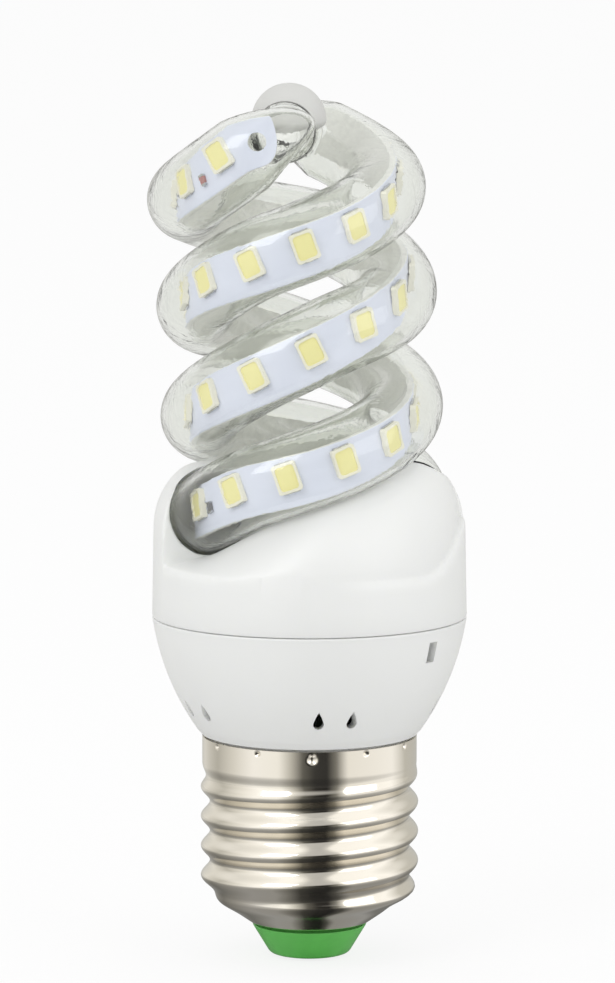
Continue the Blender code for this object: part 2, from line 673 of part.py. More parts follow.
def build():
    for old in list(bpy.data.objects):
        bpy.data.objects.remove(old, do_unlink=True)
    nickel = material("nickel_plated_brass", (0.72, 0.69, 0.64), 0.22, metallic=1.0)
    green = material("green_insulator", (0.10, 0.46, 0.08), 0.4)
    white = material("white_polycarbonate", (0.84, 0.84, 0.83), 0.42)
    glass = material("clear_glass", (0.86, 0.90, 0.88), 0.05, transmission=0.8)
    strip = material("white_solder_mask", (0.66, 0.70, 0.84), 0.5)
    chip = material("phosphor_chip", (0.90, 0.86, 0.42), 0.45)
    driver_materials = {
        "board": material("glass_epoxy_board", (0.06, 0.28, 0.12), 0.5),
        "sleeve": material("capacitor_sleeve", (0.03, 0.03, 0.05), 0.4),
        "ferrite": material("ferrite", (0.10, 0.09, 0.09), 0.6),
        "moulding": material("black_moulding", (0.02, 0.02, 0.02), 0.5),
        "live": material("red_insulation", (0.55, 0.03, 0.02), 0.45),
        "neutral": material("black_insulation", (0.02, 0.02, 0.02), 0.45),
        "lead": material("white_insulation", (0.80, 0.80, 0.78), 0.45),
    }
    centre_contact(nickel)
    cap_insulator(green)
    screw_shell(nickel)
    lower_housing(white)
    upper_cover(white)
    glass_spiral(glass)
    for arm in ("a", "b"):
        led_strip(arm, strip)
        led_chips(arm, chip)
    driver(driver_materials)


build()
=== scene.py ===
"""Finished pieces of a spiral LED bulb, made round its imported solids.

Lengths are in metres. Azimuths are in degrees from the front, -Y, with the bulb's right side, +X, at 90.
"Down" is the azimuth travelled down an arm of the coil from its top.
"""

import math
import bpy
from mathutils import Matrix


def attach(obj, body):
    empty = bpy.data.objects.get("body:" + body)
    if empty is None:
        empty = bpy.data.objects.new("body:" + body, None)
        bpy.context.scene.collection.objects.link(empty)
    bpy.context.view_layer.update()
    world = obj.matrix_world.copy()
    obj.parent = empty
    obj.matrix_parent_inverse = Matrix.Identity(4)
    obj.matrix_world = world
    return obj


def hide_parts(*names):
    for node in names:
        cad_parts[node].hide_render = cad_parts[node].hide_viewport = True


bl_info = {
    "name": "Spiral LED Bulb",
    "version": (1, 0, 0),
    "blender": (4, 5, 0),
    "location": "View3D > Sidebar > Bulb",
    "description": "Makes the finished pieces of a spiral LED bulb round its packed solids",
    "category": "Object",
}

from functools import partial

import bmesh
import bpy
from bpy.props import FloatProperty, FloatVectorProperty, IntProperty, PointerProperty
from mathutils import Vector
from mathutils.kdtree import KDTree

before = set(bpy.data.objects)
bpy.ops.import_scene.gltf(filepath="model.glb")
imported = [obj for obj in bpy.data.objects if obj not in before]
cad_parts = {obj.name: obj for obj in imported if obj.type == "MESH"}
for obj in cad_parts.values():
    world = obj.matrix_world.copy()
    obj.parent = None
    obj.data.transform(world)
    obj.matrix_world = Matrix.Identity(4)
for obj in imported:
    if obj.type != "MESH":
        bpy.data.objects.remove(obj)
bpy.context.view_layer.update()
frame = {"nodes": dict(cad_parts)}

MM = 0.001
FIT = 0.3 * MM              # clearance between pieces that sit in each other
ARM_TURN = {"a": 0.0, "b": 180.0}
ARM_TILT = {"a": 1.6 * MM, "b": 0.0}        # how much higher than a helix the arm runs at the right
ARM_DROP = {"a": -0.55 * MM, "b": 0.25 * MM}    # how far the whole arm hangs below its helix
ARM_SAG = {"a": 1.7 * MM, "b": 0.55 * MM}   # how much the top turn sags below a helix
# Places further down an arm where the tube hangs lower than a helix too, and how much
SIDE_SAG = {"a": ((120.0, 0.5 * MM), (270.0, 1.9 * MM), (450.0, 0.8 * MM)), "b": ((270.0, 1.6 * MM),)}
SIDE_REACH = 80.0           # azimuth to either side of those places that hangs lower with them
LED_FIRST = {"a": 32.0, "b": 29.0}          # azimuth down the arm to its first chip
LED_STEP = {"a": 29.3, "b": 28.85}          # and from each chip to the next


def linear(hex_colour):
    """An sRGB hex colour as linear red, green and blue."""
    shares = (int(hex_colour[i:i + 2], 16) / 255 for i in (1, 3, 5))
    return tuple(v / 12.92 if v <= 0.04045 else ((v + 0.055) / 1.055) ** 2.4 for v in shares)


def length(name, millimetres, description):
    return FloatProperty(name=name, description=description, default=millimetres * MM, min=0.0,
                         precision=5, unit="LENGTH")


def turn(name, degrees, description):
    return FloatProperty(name=name, description=description, default=math.radians(degrees), unit="ROTATION")


def colour(name, hex_colour, description):
    return FloatVectorProperty(name=name, description=description, default=linear(hex_colour), size=3,
                               min=0.0, max=1.0, subtype="COLOR")


class BulbGlass(bpy.types.PropertyGroup):
    tube_diameter: length("Tube diameter", 9.7, "Outside of the blown tube")
    tube_wall: length("Tube wall", 0.6, "Thickness of the blown glass")
    foot_diameter: length("Coil foot diameter", 24.6, "Across the middle of the tube at the ports")
    top_diameter: length("Coil top diameter", 23.6, "Across the middle of the tube at the top")
    pitch: length("Pitch", 26.5, "Climb of one arm in a full turn")
    helix_top: length("Helix top", 100.9, "Height that a straight helix would reach")
    dip: length("Port dip", 0.7, "Extra drop of the tube where it goes into its port")
    knob_diameter: length("Knob diameter", 9.0, "The blob that seals the tube")
    bridge_diameter: length("Bridge diameter", 7.4, "The tube between the tops of the arms")
    height: length("Bulb height", 106.0, "From the contact to the top of the knob")
    port_below_top: turn("Port below top", 608.0, "Azimuth from the top of an arm down to its port")
    into_cover: turn("Run into the cover", 20.0, "Azimuth that the tube runs on inside the cover")
    sides: IntProperty(name="Sides", description="Points round the tube", default=48, min=12)


class BulbLight(bpy.types.PropertyGroup):
    strip_width: length("Strip width", 6.0, "Width of the aluminium strip")
    strip_thickness: length("Strip thickness", 0.8, "Thickness of the aluminium strip")
    strip_back: length("Strip back", 0.4, "The strip's back, outwards from the middle of the tube")
    hole_diameter: length("Hole diameter", 2.2, "The hole in the strip's top end")
    chip_length: length("Chip length", 2.9, "Along the strip")
    chip_width: length("Chip width", 3.5, "Across the strip")
    chip_height: length("Chip height", 0.7, "Off the strip")
    chip_rise: length("Chip rise", 0.6, "The chips' line, above the strip's centre line")
    chip_count: IntProperty(name="Chips", description="Chips on each strip", default=21, min=1)


class BulbHousing(bpy.types.PropertyGroup):
    diameter: length("Diameter", 38.0, "Of the cup and the hood at the seam")
    base_diameter: length("Base diameter", 26.4, "Of the cup at the cap")
    bulge: length("Bulge", 0.95, "How far the cup's side stands out from a straight cone")
    wall: length("Wall", 1.4, "Of the cup")
    seam: length("Seam height", 41.8, "Where the hood sits on the cup")
    cover_wall: length("Cover wall", 1.2, "Of the hood")
    cover_top: length("Cover top", 60.7, "Top of the hood")
    shoulder_rise: length("Shoulder rise", 8.2, "Height of the hood's round shoulder")
    shoulder_run: length("Shoulder run", 6.8, "Depth of the hood's round shoulder")
    floor: length("Hollow floor", 52.0, "Floor of the hollow between the two hoods")
    sill: length("Sill height", 48.6, "Outer edge of the channel next to the port")
    vent_width: length("Vent width", 1.3, "Of one slot")
    vent_length: length("Vent length", 2.2, "Of one slot")
    vent_height: length("Vent height", 31.4, "Of the middle of the slots")
    vent_pairs: IntProperty(name="Vent pairs", description="Pairs of slots round the cup", default=5, min=1)


class BulbCap(bpy.types.PropertyGroup):
    thread_diameter: length("Thread diameter", 26.4, "Over the crests of the rolled thread")
    root_diameter: length("Root diameter", 24.2, "In the roots of the rolled thread")
    pitch: length("Thread pitch", 3.63, "Climb of the thread in a turn")
    skirt_diameter: length("Skirt diameter", 26.0, "The plain part under the cup")
    wall: length("Sheet", 0.5, "Thickness of the rolled sheet")
    rim: length("Rim height", 27.2, "Top edge of the shell")
    thread_top: length("Thread top", 24.2, "Where the thread runs out into the skirt")
    foot_diameter: length("Foot diameter", 14.4, "Where the sheet is rolled over the insulator")
    foot: length("Foot height", 4.3, "Lower edge of the shell")
    crimp_radius: length("Crimp radius", 0.42, "Of the punched dents that hold the shell on the cup")
    crimp_depth: length("Crimp depth", 0.34, "Of the punched dents")
    crimps: IntProperty(name="Crimps", description="Punched dents round the rim", default=12, min=0)
    punch_radius: length("Punch radius", 0.75, "Of the larger dent at the front")
    tip_diameter: length("Insulator tip", 9.6, "Of the insulator round the contact")
    contact_diameter: length("Contact diameter", 6.4, "Of the centre contact")


class BulbColours(bpy.types.PropertyGroup):
    glass: colour("Glass", "#f6f7f4", "Tint of the clear glass at its surface")
    knob: colour("Knob", "#e6e6e3", "The ground seal of the glass")
    housing: colour("Housing", "#ecedeb", "White moulding")
    nickel: colour("Nickel", "#ece6da", "Plating of the cap")
    insulator: colour("Insulator", "#6acb60", "Green moulding in the cap")
    mask: colour("Solder mask", "#e9eeff", "Face of the strips")
    aluminium: colour("Aluminium", "#fcfcf8", "Back of the strips")
    frame: colour("Chip frame", "#fbf8e6", "Moulding round the phosphor")
    phosphor: colour("Phosphor", "#fff8b0", "Silicone over the chips")


class BulbStage(bpy.types.PropertyGroup):
    distance: length("Camera distance", 652.0, "In front of the bulb's axis")
    camera_height: length("Camera height", 141.5, "Above the contact")
    pitch: turn("Camera pitch", 7.45, "How far the camera looks down")
    lens: FloatProperty(name="Lens", description="Focal length in millimetres", default=199.8, min=1.0)
    world_level: FloatProperty(name="World level", description="Light from all round", default=0.9, min=0.0)
    background: colour("Background", "#fcfcfc", "What shows behind the bulb")


GROUPS = {"bulb_glass": BulbGlass, "bulb_light": BulbLight, "bulb_housing": BulbHousing,
          "bulb_cap": BulbCap, "bulb_colours": BulbColours, "bulb_stage": BulbStage}


# Where the arms of the coil run

END_ANGLE = 24.0            # azimuth below the top of the helix where an arm starts to narrow
END_TIP = {"a": -24.0, "b": -18.0}    # azimuth of its closed tip, past the top of the helix
END_BEND = 3.0 * MM         # how far the tip bends inwards
END_SINK = 2.0 * MM         # how far it stays below the helix
SAG_MIDDLE = 54.0           # azimuth down the arm where the top turn sags most
SAG_REACH = 65.0
DIP_SPAN = 45.0
COIL_LEAN = 0.045           # the blown coil leans to the left as it climbs
LEAN_FROM = 46.0 * MM
TOP_SWAY = 0.65 * MM        # and its top turn stands a little further to the left
SWAY_FROM = 82.0 * MM
SWAY_RISE = 10.0 * MM
KNOB_SHIFT = 0.7 * MM       # the knob stands to the right of the coil's axis
KNOB_UNDERSIDE = 0.35       # depth of the knob under its widest part, as a share of its radius
BRIDGE_SINK = 1.4 * MM      # how far the bridge's middle lies below the knob's
STRIP_TOP_GAP = {"a": 3.5, "b": 9.0}     # azimuth from the top of the arm to the end of the strip
STRIP_FOOT_GAP = 6.0
STRIP_SHIFT_SPAN = 150.0    # azimuth over which the strip moves from the top to the foot of the bore
STRIP_LIFT = 1.1            # how far it comes back up in front of the port, as a share of its drop
STRIP_LIFT_SPAN = 90.0
HOLE_INSET = 2.1 * MM       # from the strip's end to the middle of its hole
RESISTOR_AT = {"a": 0.5, "b": 19.65}     # counted in chips from the top
RESISTOR_DROP = {"a": 0.7 * MM, "b": 0.3 * MM}    # below the strip's centre line
BORE_SLACK = 0.1 * MM       # between the strip's edges and the glass


def smooth_step(value):
    value = min(max(value, 0.0), 1.0)
    return value * value * (3 - 2 * value)


def around(radius, z, azimuth):
    bend = math.radians(azimuth)
    return Vector((radius * math.sin(bend), -radius * math.cos(bend), z))


def port_down():
    return math.degrees(bpy.context.scene.bulb_glass.port_below_top)


def foot_down():
    return port_down() + math.degrees(bpy.context.scene.bulb_glass.into_cover)


def coil_radius(down):
    """From the coil's axis to the middle of the tube."""
    glass = bpy.context.scene.bulb_glass
    return (glass.top_diameter + (glass.foot_diameter - glass.top_diameter) * down / port_down()) / 2


def coil_axis_at(z):
    return Vector((-COIL_LEAN * (z - LEAN_FROM) - TOP_SWAY * smooth_step((z - SWAY_FROM) / SWAY_RISE), 0, z))


def end_share(arm, down):
    """How far along its narrowing end the arm is: 0 where the end begins, 1 at the tip."""
    return max(0.0, (END_ANGLE - down) / (END_ANGLE - END_TIP[arm]))


def end_width(arm, down):
    """The share of the tube's full width that is left on the narrowing end."""
    return max(0.0, 1 - end_share(arm, down) ** 1.2) ** 0.75


def side_sag(arm, down):
    """How far the tube hangs below a helix at the sides of the coil, where the strip doesn't follow it."""
    return sum(depth * max(0, 1 - ((down - middle) / SIDE_REACH) ** 2) ** 2
               for middle, depth in SIDE_SAG[arm])


def arm_centre(arm, down):
    """The middle of the tube."""
    glass = bpy.context.scene.bulb_glass
    azimuth = ARM_TURN[arm] - down
    z = glass.helix_top - glass.pitch * down / 360
    z += ARM_TILT[arm] * math.sin(math.radians(azimuth)) - ARM_DROP[arm]
    z -= ARM_SAG[arm] * max(0, 1 - ((down - SAG_MIDDLE) / SAG_REACH) ** 2) ** 2
    z -= END_SINK * end_share(arm, down) ** 2 + side_sag(arm, down)
    z -= glass.dip * smooth_step((down - port_down() + DIP_SPAN) / DIP_SPAN)
    return coil_axis_at(z) + around(coil_radius(down) - END_BEND * end_share(arm, down) ** 2, 0, azimuth)


def arm_frame(arm, down):
    """The tube's middle, its direction down the arm, outwards, and upwards across the strip."""
    step = 0.5
    at = arm_centre(arm, down)
    along = (arm_centre(arm, down + step) - arm_centre(arm, down - step)).normalized()
    out = Vector((0, 0, 1)).cross(along).normalized()
    return at, along, out, along.cross(out)


def circle(middle, radius, across, upwards, count):
    """Points round a circle that lies in two directions."""
    return [middle + (across * math.cos(t) + upwards * math.sin(t)) * radius
            for t in (math.tau * i / count for i in range(count))]


def spread(first, last, step):
    """Even stations from first to last, no further apart than the step."""
    count = max(2, math.ceil(abs(last - first) / step))
    return [first + (last - first) * i / count for i in range(count + 1)]


def strip_half(arm, down):
    """Half the width of the strip, which has a round top end."""
    glass, light = bpy.context.scene.bulb_glass, bpy.context.scene.bulb_light
    half = light.strip_width / 2
    share = math.radians(down - STRIP_TOP_GAP[arm]) * glass.top_diameter / 2 / half
    return half * math.sqrt(1 - (1 - min(max(share, 0.0), 1.0)) ** 2)


def strip_drop(arm, down):
    """How far the strip's centre line lies below the middle of the tube."""
    glass, light = bpy.context.scene.bulb_glass, bpy.context.scene.bulb_light
    reach = end_width(arm, down) * glass.tube_diameter / 2 - glass.tube_wall - BORE_SLACK
    face = light.strip_back + light.strip_thickness
    play = max(0.0, math.sqrt(max(0.0, reach ** 2 - face ** 2)) - strip_half(arm, down))
    settled = 2 * smooth_step((down - STRIP_TOP_GAP[arm]) / STRIP_SHIFT_SPAN) - 1
    settled *= 1 - STRIP_LIFT * smooth_step((down - port_down() + STRIP_LIFT_SPAN) / STRIP_LIFT_SPAN)
    return max(-play, play * settled - side_sag(arm, down))


# Mesh helpers

def add_object(name, data):
    piece = bpy.data.objects.new(name, data)
    bpy.context.scene.collection.objects.link(piece)
    return piece


def skin(name, rings, closed=False, capped=True):
    """A mesh over a row of rings of points; the row closes on itself, or its ends are capped."""
    shell = bmesh.new()
    rows = [[shell.verts.new(point) for point in ring] for ring in rings]
    count = len(rings[0])
    for low, high in zip(rows, rows[1:] + rows[:1]) if closed else zip(rows, rows[1:]):
        for i in range(count):
            j = (i + 1) % count
            shell.faces.new((low[i], low[j], high[j], high[i]))
    if capped and not closed:
        shell.faces.new(rows[0])
        shell.faces.new(rows[-1])
    bmesh.ops.recalc_face_normals(shell, faces=shell.faces)
    mesh = bpy.data.meshes.new(name)
    shell.to_mesh(mesh)
    shell.free()
    return add_object(name, mesh)


def turned_ring(name, profile, count):
    """A ring turned from a closed profile of (radius, z) that stays off the axis."""
    rings = [[around(r, z, 360 * i / count) for r, z in profile] for i in range(count)]
    return skin(name, rings, closed=True)


def turned(name, profile, count):
    """A solid turned from an open profile that starts and ends on flat faces."""
    return skin(name, [[around(r, z, 360 * i / count) for i in range(count)] for r, z in profile])


def rounded(profile, radius, steps):
    """The closed profile with its corners rounded, where the radius fits."""
    result = []
    for i, here in enumerate(profile):
        here = Vector(here)
        before, after = Vector(profile[i - 1]), Vector(profile[(i + 1) % len(profile)])
        reach = min(radius, (before - here).length * 0.45, (after - here).length * 0.45)
        start = here + (before - here).normalized() * reach
        end = here + (after - here).normalized() * reach
        for step in range(steps + 1):
            share = step / steps
            result.append(tuple(start.lerp(here, share).lerp(here.lerp(end, share), share)))
    return result


def carry(piece, name, kind, field, values):
    """Store a value for each point of the piece's mesh."""
    piece.data.attributes.new(name, kind, "POINT").data.foreach_set(field, values)


def bake(piece):
    """The piece with its modifiers applied, as a plain mesh object."""
    name = piece.name
    depsgraph = bpy.context.evaluated_depsgraph_get()
    mesh = bpy.data.meshes.new_from_object(piece.evaluated_get(depsgraph))
    bpy.data.objects.remove(piece)
    if not mesh.polygons:
        raise RuntimeError(f"{name} came out empty")
    return add_object(name, mesh)


def combine(piece, other, operation="DIFFERENCE"):
    """Cut the other shape from the piece, or fuse it on."""
    step = piece.modifiers.new(other.name, "BOOLEAN")
    step.operation = operation
    step.solver = "MANIFOLD"
    step.object = other
    piece = bake(piece)
    bpy.data.objects.remove(other)
    return piece


SMOOTHING = 0.6             # how far a point moves to the middle of its neighbours in one pass
REFINEMENTS = 3             # how often the edges near a crease are halved at most
WELD = 0.02 * MM            # points nearer than this are one


def soften_creases(piece, sharper_than, reach, fineness, passes, above=0.0):
    """Refine the mesh near its sharp edges and smooth it there, as on melted glass or in a mould."""
    shell = bmesh.new()
    shell.from_mesh(piece.data)
    bmesh.ops.remove_doubles(shell, verts=shell.verts, dist=WELD)
    creases = [edge for edge in shell.edges if len(edge.link_faces) == 2
               and edge.calc_face_angle(0.0) > math.radians(sharper_than)
               and min(vert.co.z for vert in edge.verts) > above]
    if not creases:
        raise RuntimeError(f"{piece.name} has no sharp edge to soften")
    spots = [edge.verts[0].co.lerp(edge.verts[1].co, share) for edge in creases for share in (0.0, 0.5, 1.0)]
    nearest = KDTree(len(spots))
    for i, spot in enumerate(spots):
        nearest.insert(spot, i)
    nearest.balance()
    bmesh.ops.triangulate(shell, faces=[face for face in shell.faces if len(face.verts) > 4])
    for _ in range(REFINEMENTS):
        near = {vert for vert in shell.verts if nearest.find(vert.co)[2] < reach * 1.5}
        long_edges = [edge for edge in shell.edges if edge.calc_length() > fineness
                      and (edge.verts[0] in near or edge.verts[1] in near)]
        if not long_edges:
            break
        bmesh.ops.subdivide_edges(shell, edges=long_edges, cuts=1, use_grid_fill=True)
        bmesh.ops.triangulate(shell, faces=[face for face in shell.faces if len(face.verts) > 4])
    weights = {vert: smooth_step(1 - nearest.find(vert.co)[2] / reach) for vert in shell.verts}
    moving = [vert for vert, weight in weights.items() if weight > 0 and vert.link_edges]
    for _ in range(passes):
        moved = []
        for vert in moving:
            neighbours = [edge.other_vert(vert).co for edge in vert.link_edges]
            middle = sum(neighbours, Vector()) / len(neighbours)
            moved.append(vert.co.lerp(middle, weights[vert] * SMOOTHING))
        for vert, spot in zip(moving, moved):
            vert.co = spot
    shell.to_mesh(piece.data)
    shell.free()


def shade(piece, materials, sharp=None):
    """Give a piece its materials and smooth shading, with edges sharper than the angle left sharp."""
    mesh = piece.data
    if materials:
        mesh.materials.clear()
        for mat in materials:
            mesh.materials.append(mat)
    mesh.shade_smooth()
    if sharp:
        mesh.set_sharp_from_angle(angle=math.radians(sharp))


def hand_over(piece, slot, *nodes):
    """The piece stands for its nodes: it hangs under the root body, and the nodes are hidden. The slot is
    not used.
    """
    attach(piece, "root")
    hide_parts(*nodes)


# Node helpers

def add_node(tree, kind, inputs=None, **settings):
    """Add a node with its settings, and set or link its inputs, given by name or number."""
    node = tree.nodes.new(kind)
    for key, value in settings.items():
        setattr(node, key, value)
    for key, value in (inputs or {}).items():
        if isinstance(value, bpy.types.NodeSocket):
            tree.links.new(value, node.inputs[key])
        else:
            node.inputs[key].default_value = value
    return node


def calculate(tree, operation, *values):
    """The result of a math node on numbers and outputs."""
    return add_node(tree, "ShaderNodeMath", dict(enumerate(values)), operation=operation).outputs[0]


def remap(tree, value, low, high, start=0.0, end=1.0, **settings):
    """The value, which runs from start to end, brought to the range from low to high."""
    inputs = {"Value": value, "From Min": start, "From Max": end, "To Min": low, "To Max": high}
    return add_node(tree, "ShaderNodeMapRange", inputs, **settings).outputs["Result"]


def blend(tree, share, first, second):
    """A mix of two colours, given as red, green and blue or as outputs."""
    first, second = (value if isinstance(value, bpy.types.NodeSocket) else (*value, 1.0)
                     for value in (first, second))
    return add_node(tree, "ShaderNodeMix", {0: share, 6: first, 7: second}, data_type="RGBA").outputs[2]


def mix_shaders(tree, share, first, second):
    """The first shader where the share is 0, and the second where it is 1."""
    node = add_node(tree, "ShaderNodeMixShader", {0: share, 1: first.outputs[0], 2: second.outputs[0]})
    return node.outputs[0]


def noise(tree, place, scale, detail, **more):
    """A noise of 0 to 1."""
    inputs = {"Vector": place, "Scale": scale, "Detail": detail, **more}
    return add_node(tree, "ShaderNodeTexNoise", inputs).outputs["Fac"]


def stretched(tree, place, scale):
    return add_node(tree, "ShaderNodeMapping", {"Vector": place, "Scale": scale}).outputs["Vector"]


def object_place(tree):
    return add_node(tree, "ShaderNodeTexCoord").outputs["Object"]


def strip_place(tree):
    return add_node(tree, "ShaderNodeUVMap", uv_map="strip").outputs["UV"]


def new_tree(name, inputs):
    """A Geometry Nodes tree with named inputs, with the outputs of its input node and its output node."""
    tree = bpy.data.node_groups.new(name, "GeometryNodeTree")
    tree.is_modifier = True
    tree.interface.new_socket("Geometry", in_out="INPUT", socket_type="NodeSocketGeometry")
    for label, kind in inputs.items():
        tree.interface.new_socket(label, in_out="INPUT", socket_type="NodeSocket" + kind)
    tree.interface.new_socket("Geometry", in_out="OUTPUT", socket_type="NodeSocketGeometry")
    return tree, tree.nodes.new("NodeGroupInput").outputs, tree.nodes.new("NodeGroupOutput")


def attribute(tree, name, kind):
    """What the base mesh carries under a name."""
    node = add_node(tree, "GeometryNodeInputNamedAttribute", {"Name": name}, data_type=kind)
    return node.outputs["Attribute"]


def finished(tree, geometry, material):
    """The geometry with its instances made real and a material on it."""
    real = add_node(tree, "GeometryNodeRealizeInstances", {"Geometry": geometry})
    return add_node(tree, "GeometryNodeSetMaterial", {
        "Geometry": real.outputs["Geometry"], "Material": material}).outputs["Geometry"]


def run_tree(base, tree, values):
    """Run a tree on a base object with its named inputs, and turn the result into a plain mesh."""
    step = base.modifiers.new(tree.name, "NODES")
    step.node_group = tree
    for item in tree.interface.items_tree:
        if item.item_type == "SOCKET" and item.in_out == "INPUT" and item.name in values:
            step[item.identifier] = values[item.name]
    return bake(base)


def new_material(name, values):
    """A material with constants on its Principled shader, and its tree and shader."""
    mat = bpy.data.materials.new(name)
    mat.use_nodes = True
    shader = mat.node_tree.nodes["Principled BSDF"]
    for key, value in values.items():
        shader.inputs[key].default_value = (*value, 1.0) if key == "Base Color" else value
    return mat, mat.node_tree, shader


def shared(name, make):
    """The material of that name, made by the first piece that needs it."""
    return bpy.data.materials.get(name) or make()


def mottle(tree, shader, share, base, contrast):
    """Let the base colour run from a deeper shade, where the share is 0, to its full tone."""
    deep = tuple(c * contrast for c in base)
    tree.links.new(blend(tree, share, deep, base), shader.inputs["Base Color"])


def roughen(tree, shader, share, low, high, start=0.0, end=1.0):
    """Let the roughness follow a share."""
    tree.links.new(remap(tree, share, low, high, start, end), shader.inputs["Roughness"])


def bump(tree, shader, height, distance, strength):
    """Drive the shader's normal with a height of 0 to 1."""
    node = add_node(tree, "ShaderNodeBump", {"Height": height, "Distance": distance, "Strength": strength})
    tree.links.new(node.outputs["Normal"], shader.inputs["Normal"])


# Materials

def light_through(tree, shader):
    """Let the room's light fall through clear glass on what is inside it, as it does through a thin wall."""
    rays = add_node(tree, "ShaderNodeLightPath").outputs
    through = calculate(tree, "MAXIMUM", rays["Is Shadow Ray"], rays["Is Diffuse Ray"])
    either = mix_shaders(tree, through, shader, add_node(tree, "ShaderNodeBsdfTransparent"))
    tree.links.new(either, tree.nodes["Material Output"].inputs["Surface"])


def blown_glass():
    """Clear soda-lime tube, drawn and bent hot: smooth, faintly wavy, grey-green where the path is long."""
    colours = bpy.context.scene.bulb_colours
    mat, tree, shader = new_material("soda_lime_glass_blown", {
        "Base Color": tuple(colours.glass), "Roughness": 0.015, "IOR": 1.5, "Transmission Weight": 1.0})
    waves = noise(tree, object_place(tree), 260.0, 4.0, Roughness=0.55, Distortion=0.8)
    bump(tree, shader, waves, 0.07 * MM, 0.75)
    tint = add_node(tree, "ShaderNodeVolumeAbsorption", {"Color": (*linear("#b3b9ae"), 1.0),
                                                         "Density": 88.0})
    tree.links.new(tint.outputs["Volume"], tree.nodes["Material Output"].inputs["Volume"])
    light_through(tree, shader)
    return mat


def ground_glass():
    """The seal, frosted by the flame and handling: pale grey, half clear, without a hard gloss."""
    colours = bpy.context.scene.bulb_colours
    mat, tree, shader = new_material("soda_lime_glass_frosted", {
        "Base Color": tuple(colours.knob), "IOR": 1.5, "Transmission Weight": 0.25})
    grain = noise(tree, object_place(tree), 3500.0, 3.0)
    roughen(tree, shader, grain, 0.45, 0.62)
    bump(tree, shader, grain, 0.02 * MM, 0.4)
    return mat


def white_moulding():
    """Polycarbonate moulded in a spark-finished tool: warm white, satin, with a grain of about 0.2 mm."""
    colours = bpy.context.scene.bulb_colours
    mat, tree, shader = new_material("polycarbonate_white_moulded", {
        "IOR": 1.58, "Subsurface Weight": 0.35, "Subsurface Scale": 1.5 * MM,
        "Subsurface Radius": (1.0, 1.0, 0.9)})
    place = object_place(tree)
    cloud = noise(tree, place, 90.0, 3.0)
    mottle(tree, shader, cloud, colours.housing, 0.965)
    roughen(tree, shader, cloud, 0.36, 0.5)
    bump(tree, shader, noise(tree, place, 4500.0, 2.0), 0.012 * MM, 0.5)
    return mat


def plated_nickel():
    """Brass sheet, rolled and nickel plated: warm silver with fine lines round the cap and faint smears."""
    colours = bpy.context.scene.bulb_colours
    mat, tree, shader = new_material("nickel_plated_brass_rolled", {
        "Base Color": tuple(colours.nickel), "Metallic": 1.0})
    place = object_place(tree)
    smear = noise(tree, place, 160.0, 4.0, Roughness=0.6)
    roughen(tree, shader, smear, 0.06, 0.14, 0.3, 0.75)
    lines = noise(tree, stretched(tree, place, (90, 90, 5200)), 1.0, 2.0)
    bump(tree, shader, lines, 0.006 * MM, 0.5)
    return mat


def green_moulding():
    """Thermoplastic moulded into the cap: leaf green, smooth, slightly cloudy with flow marks."""
    colours = bpy.context.scene.bulb_colours
    mat, tree, shader = new_material("polyester_green_moulded", {"IOR": 1.5})
    flow = noise(tree, object_place(tree), 320.0, 3.0, Distortion=1.2)
    mottle(tree, shader, flow, colours.insulator, 0.82)
    roughen(tree, shader, flow, 0.28, 0.42)
    bump(tree, shader, flow, 0.02 * MM, 0.3)
    return mat


def solder_mask():
    """White solder mask printed over copper: cool white, satin, faintly uneven where the ink has run."""
    colours = bpy.context.scene.bulb_colours
    mat, tree, shader = new_material("solder_mask_white_printed", {"IOR": 1.5, "Roughness": 0.38})
    pours = noise(tree, stretched(tree, strip_place(tree), (260, 520, 1)), 1.0, 3.0)
    mottle(tree, shader, pours, colours.mask, 0.93)
    bump(tree, shader, pours, 0.03 * MM, 0.4)
    return mat


def rolled_aluminium():
    """Bare aluminium sheet, the back and edges of the strips: grey, with rolling lines along the strip."""
    colours = bpy.context.scene.bulb_colours
    mat, tree, shader = new_material("aluminium_sheet_rolled", {"Metallic": 0.25})
    place = strip_place(tree)
    lines = noise(tree, stretched(tree, place, (300, 9000, 1)), 1.0, 2.0)
    roughen(tree, shader, lines, 0.3, 0.5)
    blotch = noise(tree, place, 900.0, 4.0, Roughness=0.65, Distortion=1.5)
    mottle(tree, shader, remap(tree, blotch, 0.0, 1.0, 0.35, 0.65), colours.aluminium, 0.87)
    bump(tree, shader, blotch, 0.05 * MM, 0.7)
    return mat


def grained(name, hex_or_colour, roughness, grain_mm, depth=0.01, metallic=0.0, contrast=0.9):
    """A moulded, sintered or cast surface with an even grain of the given size."""
    base = linear(hex_or_colour) if isinstance(hex_or_colour, str) else tuple(hex_or_colour)
    mat, tree, shader = new_material(name, {"Metallic": metallic, "Roughness": roughness})
    grain = noise(tree, object_place(tree), 1 / (grain_mm * MM), 2.0)
    mottle(tree, shader, grain, base, contrast)
    bump(tree, shader, grain, depth * MM, 0.5)
    return mat


# Geometry Nodes trees

def tube_tree():
    """Sweeps a round tube along a curve whose own radius narrows it."""
    tree, given, result = new_tree("swept_tube", {"Tube Diameter": "Float", "Sides": "Int",
                                                  "Material": "Material"})
    upright = add_node(tree, "GeometryNodeSetCurveNormal", {"Curve": given["Geometry"]}, mode="Z_UP")
    half = calculate(tree, "MULTIPLY", given["Tube Diameter"], 0.5)
    section = add_node(tree, "GeometryNodeCurvePrimitiveCircle", {"Resolution": given["Sides"],
                                                                  "Radius": half})
    narrowing = add_node(tree, "GeometryNodeInputRadius")
    swept = add_node(tree, "GeometryNodeCurveToMesh", {
        "Curve": upright.outputs["Curve"], "Profile Curve": section.outputs["Curve"],
        "Scale": narrowing.outputs["Radius"], "Fill Caps": True})
    tree.links.new(finished(tree, swept.outputs["Mesh"], given["Material"]), result.inputs["Geometry"])
    return tree


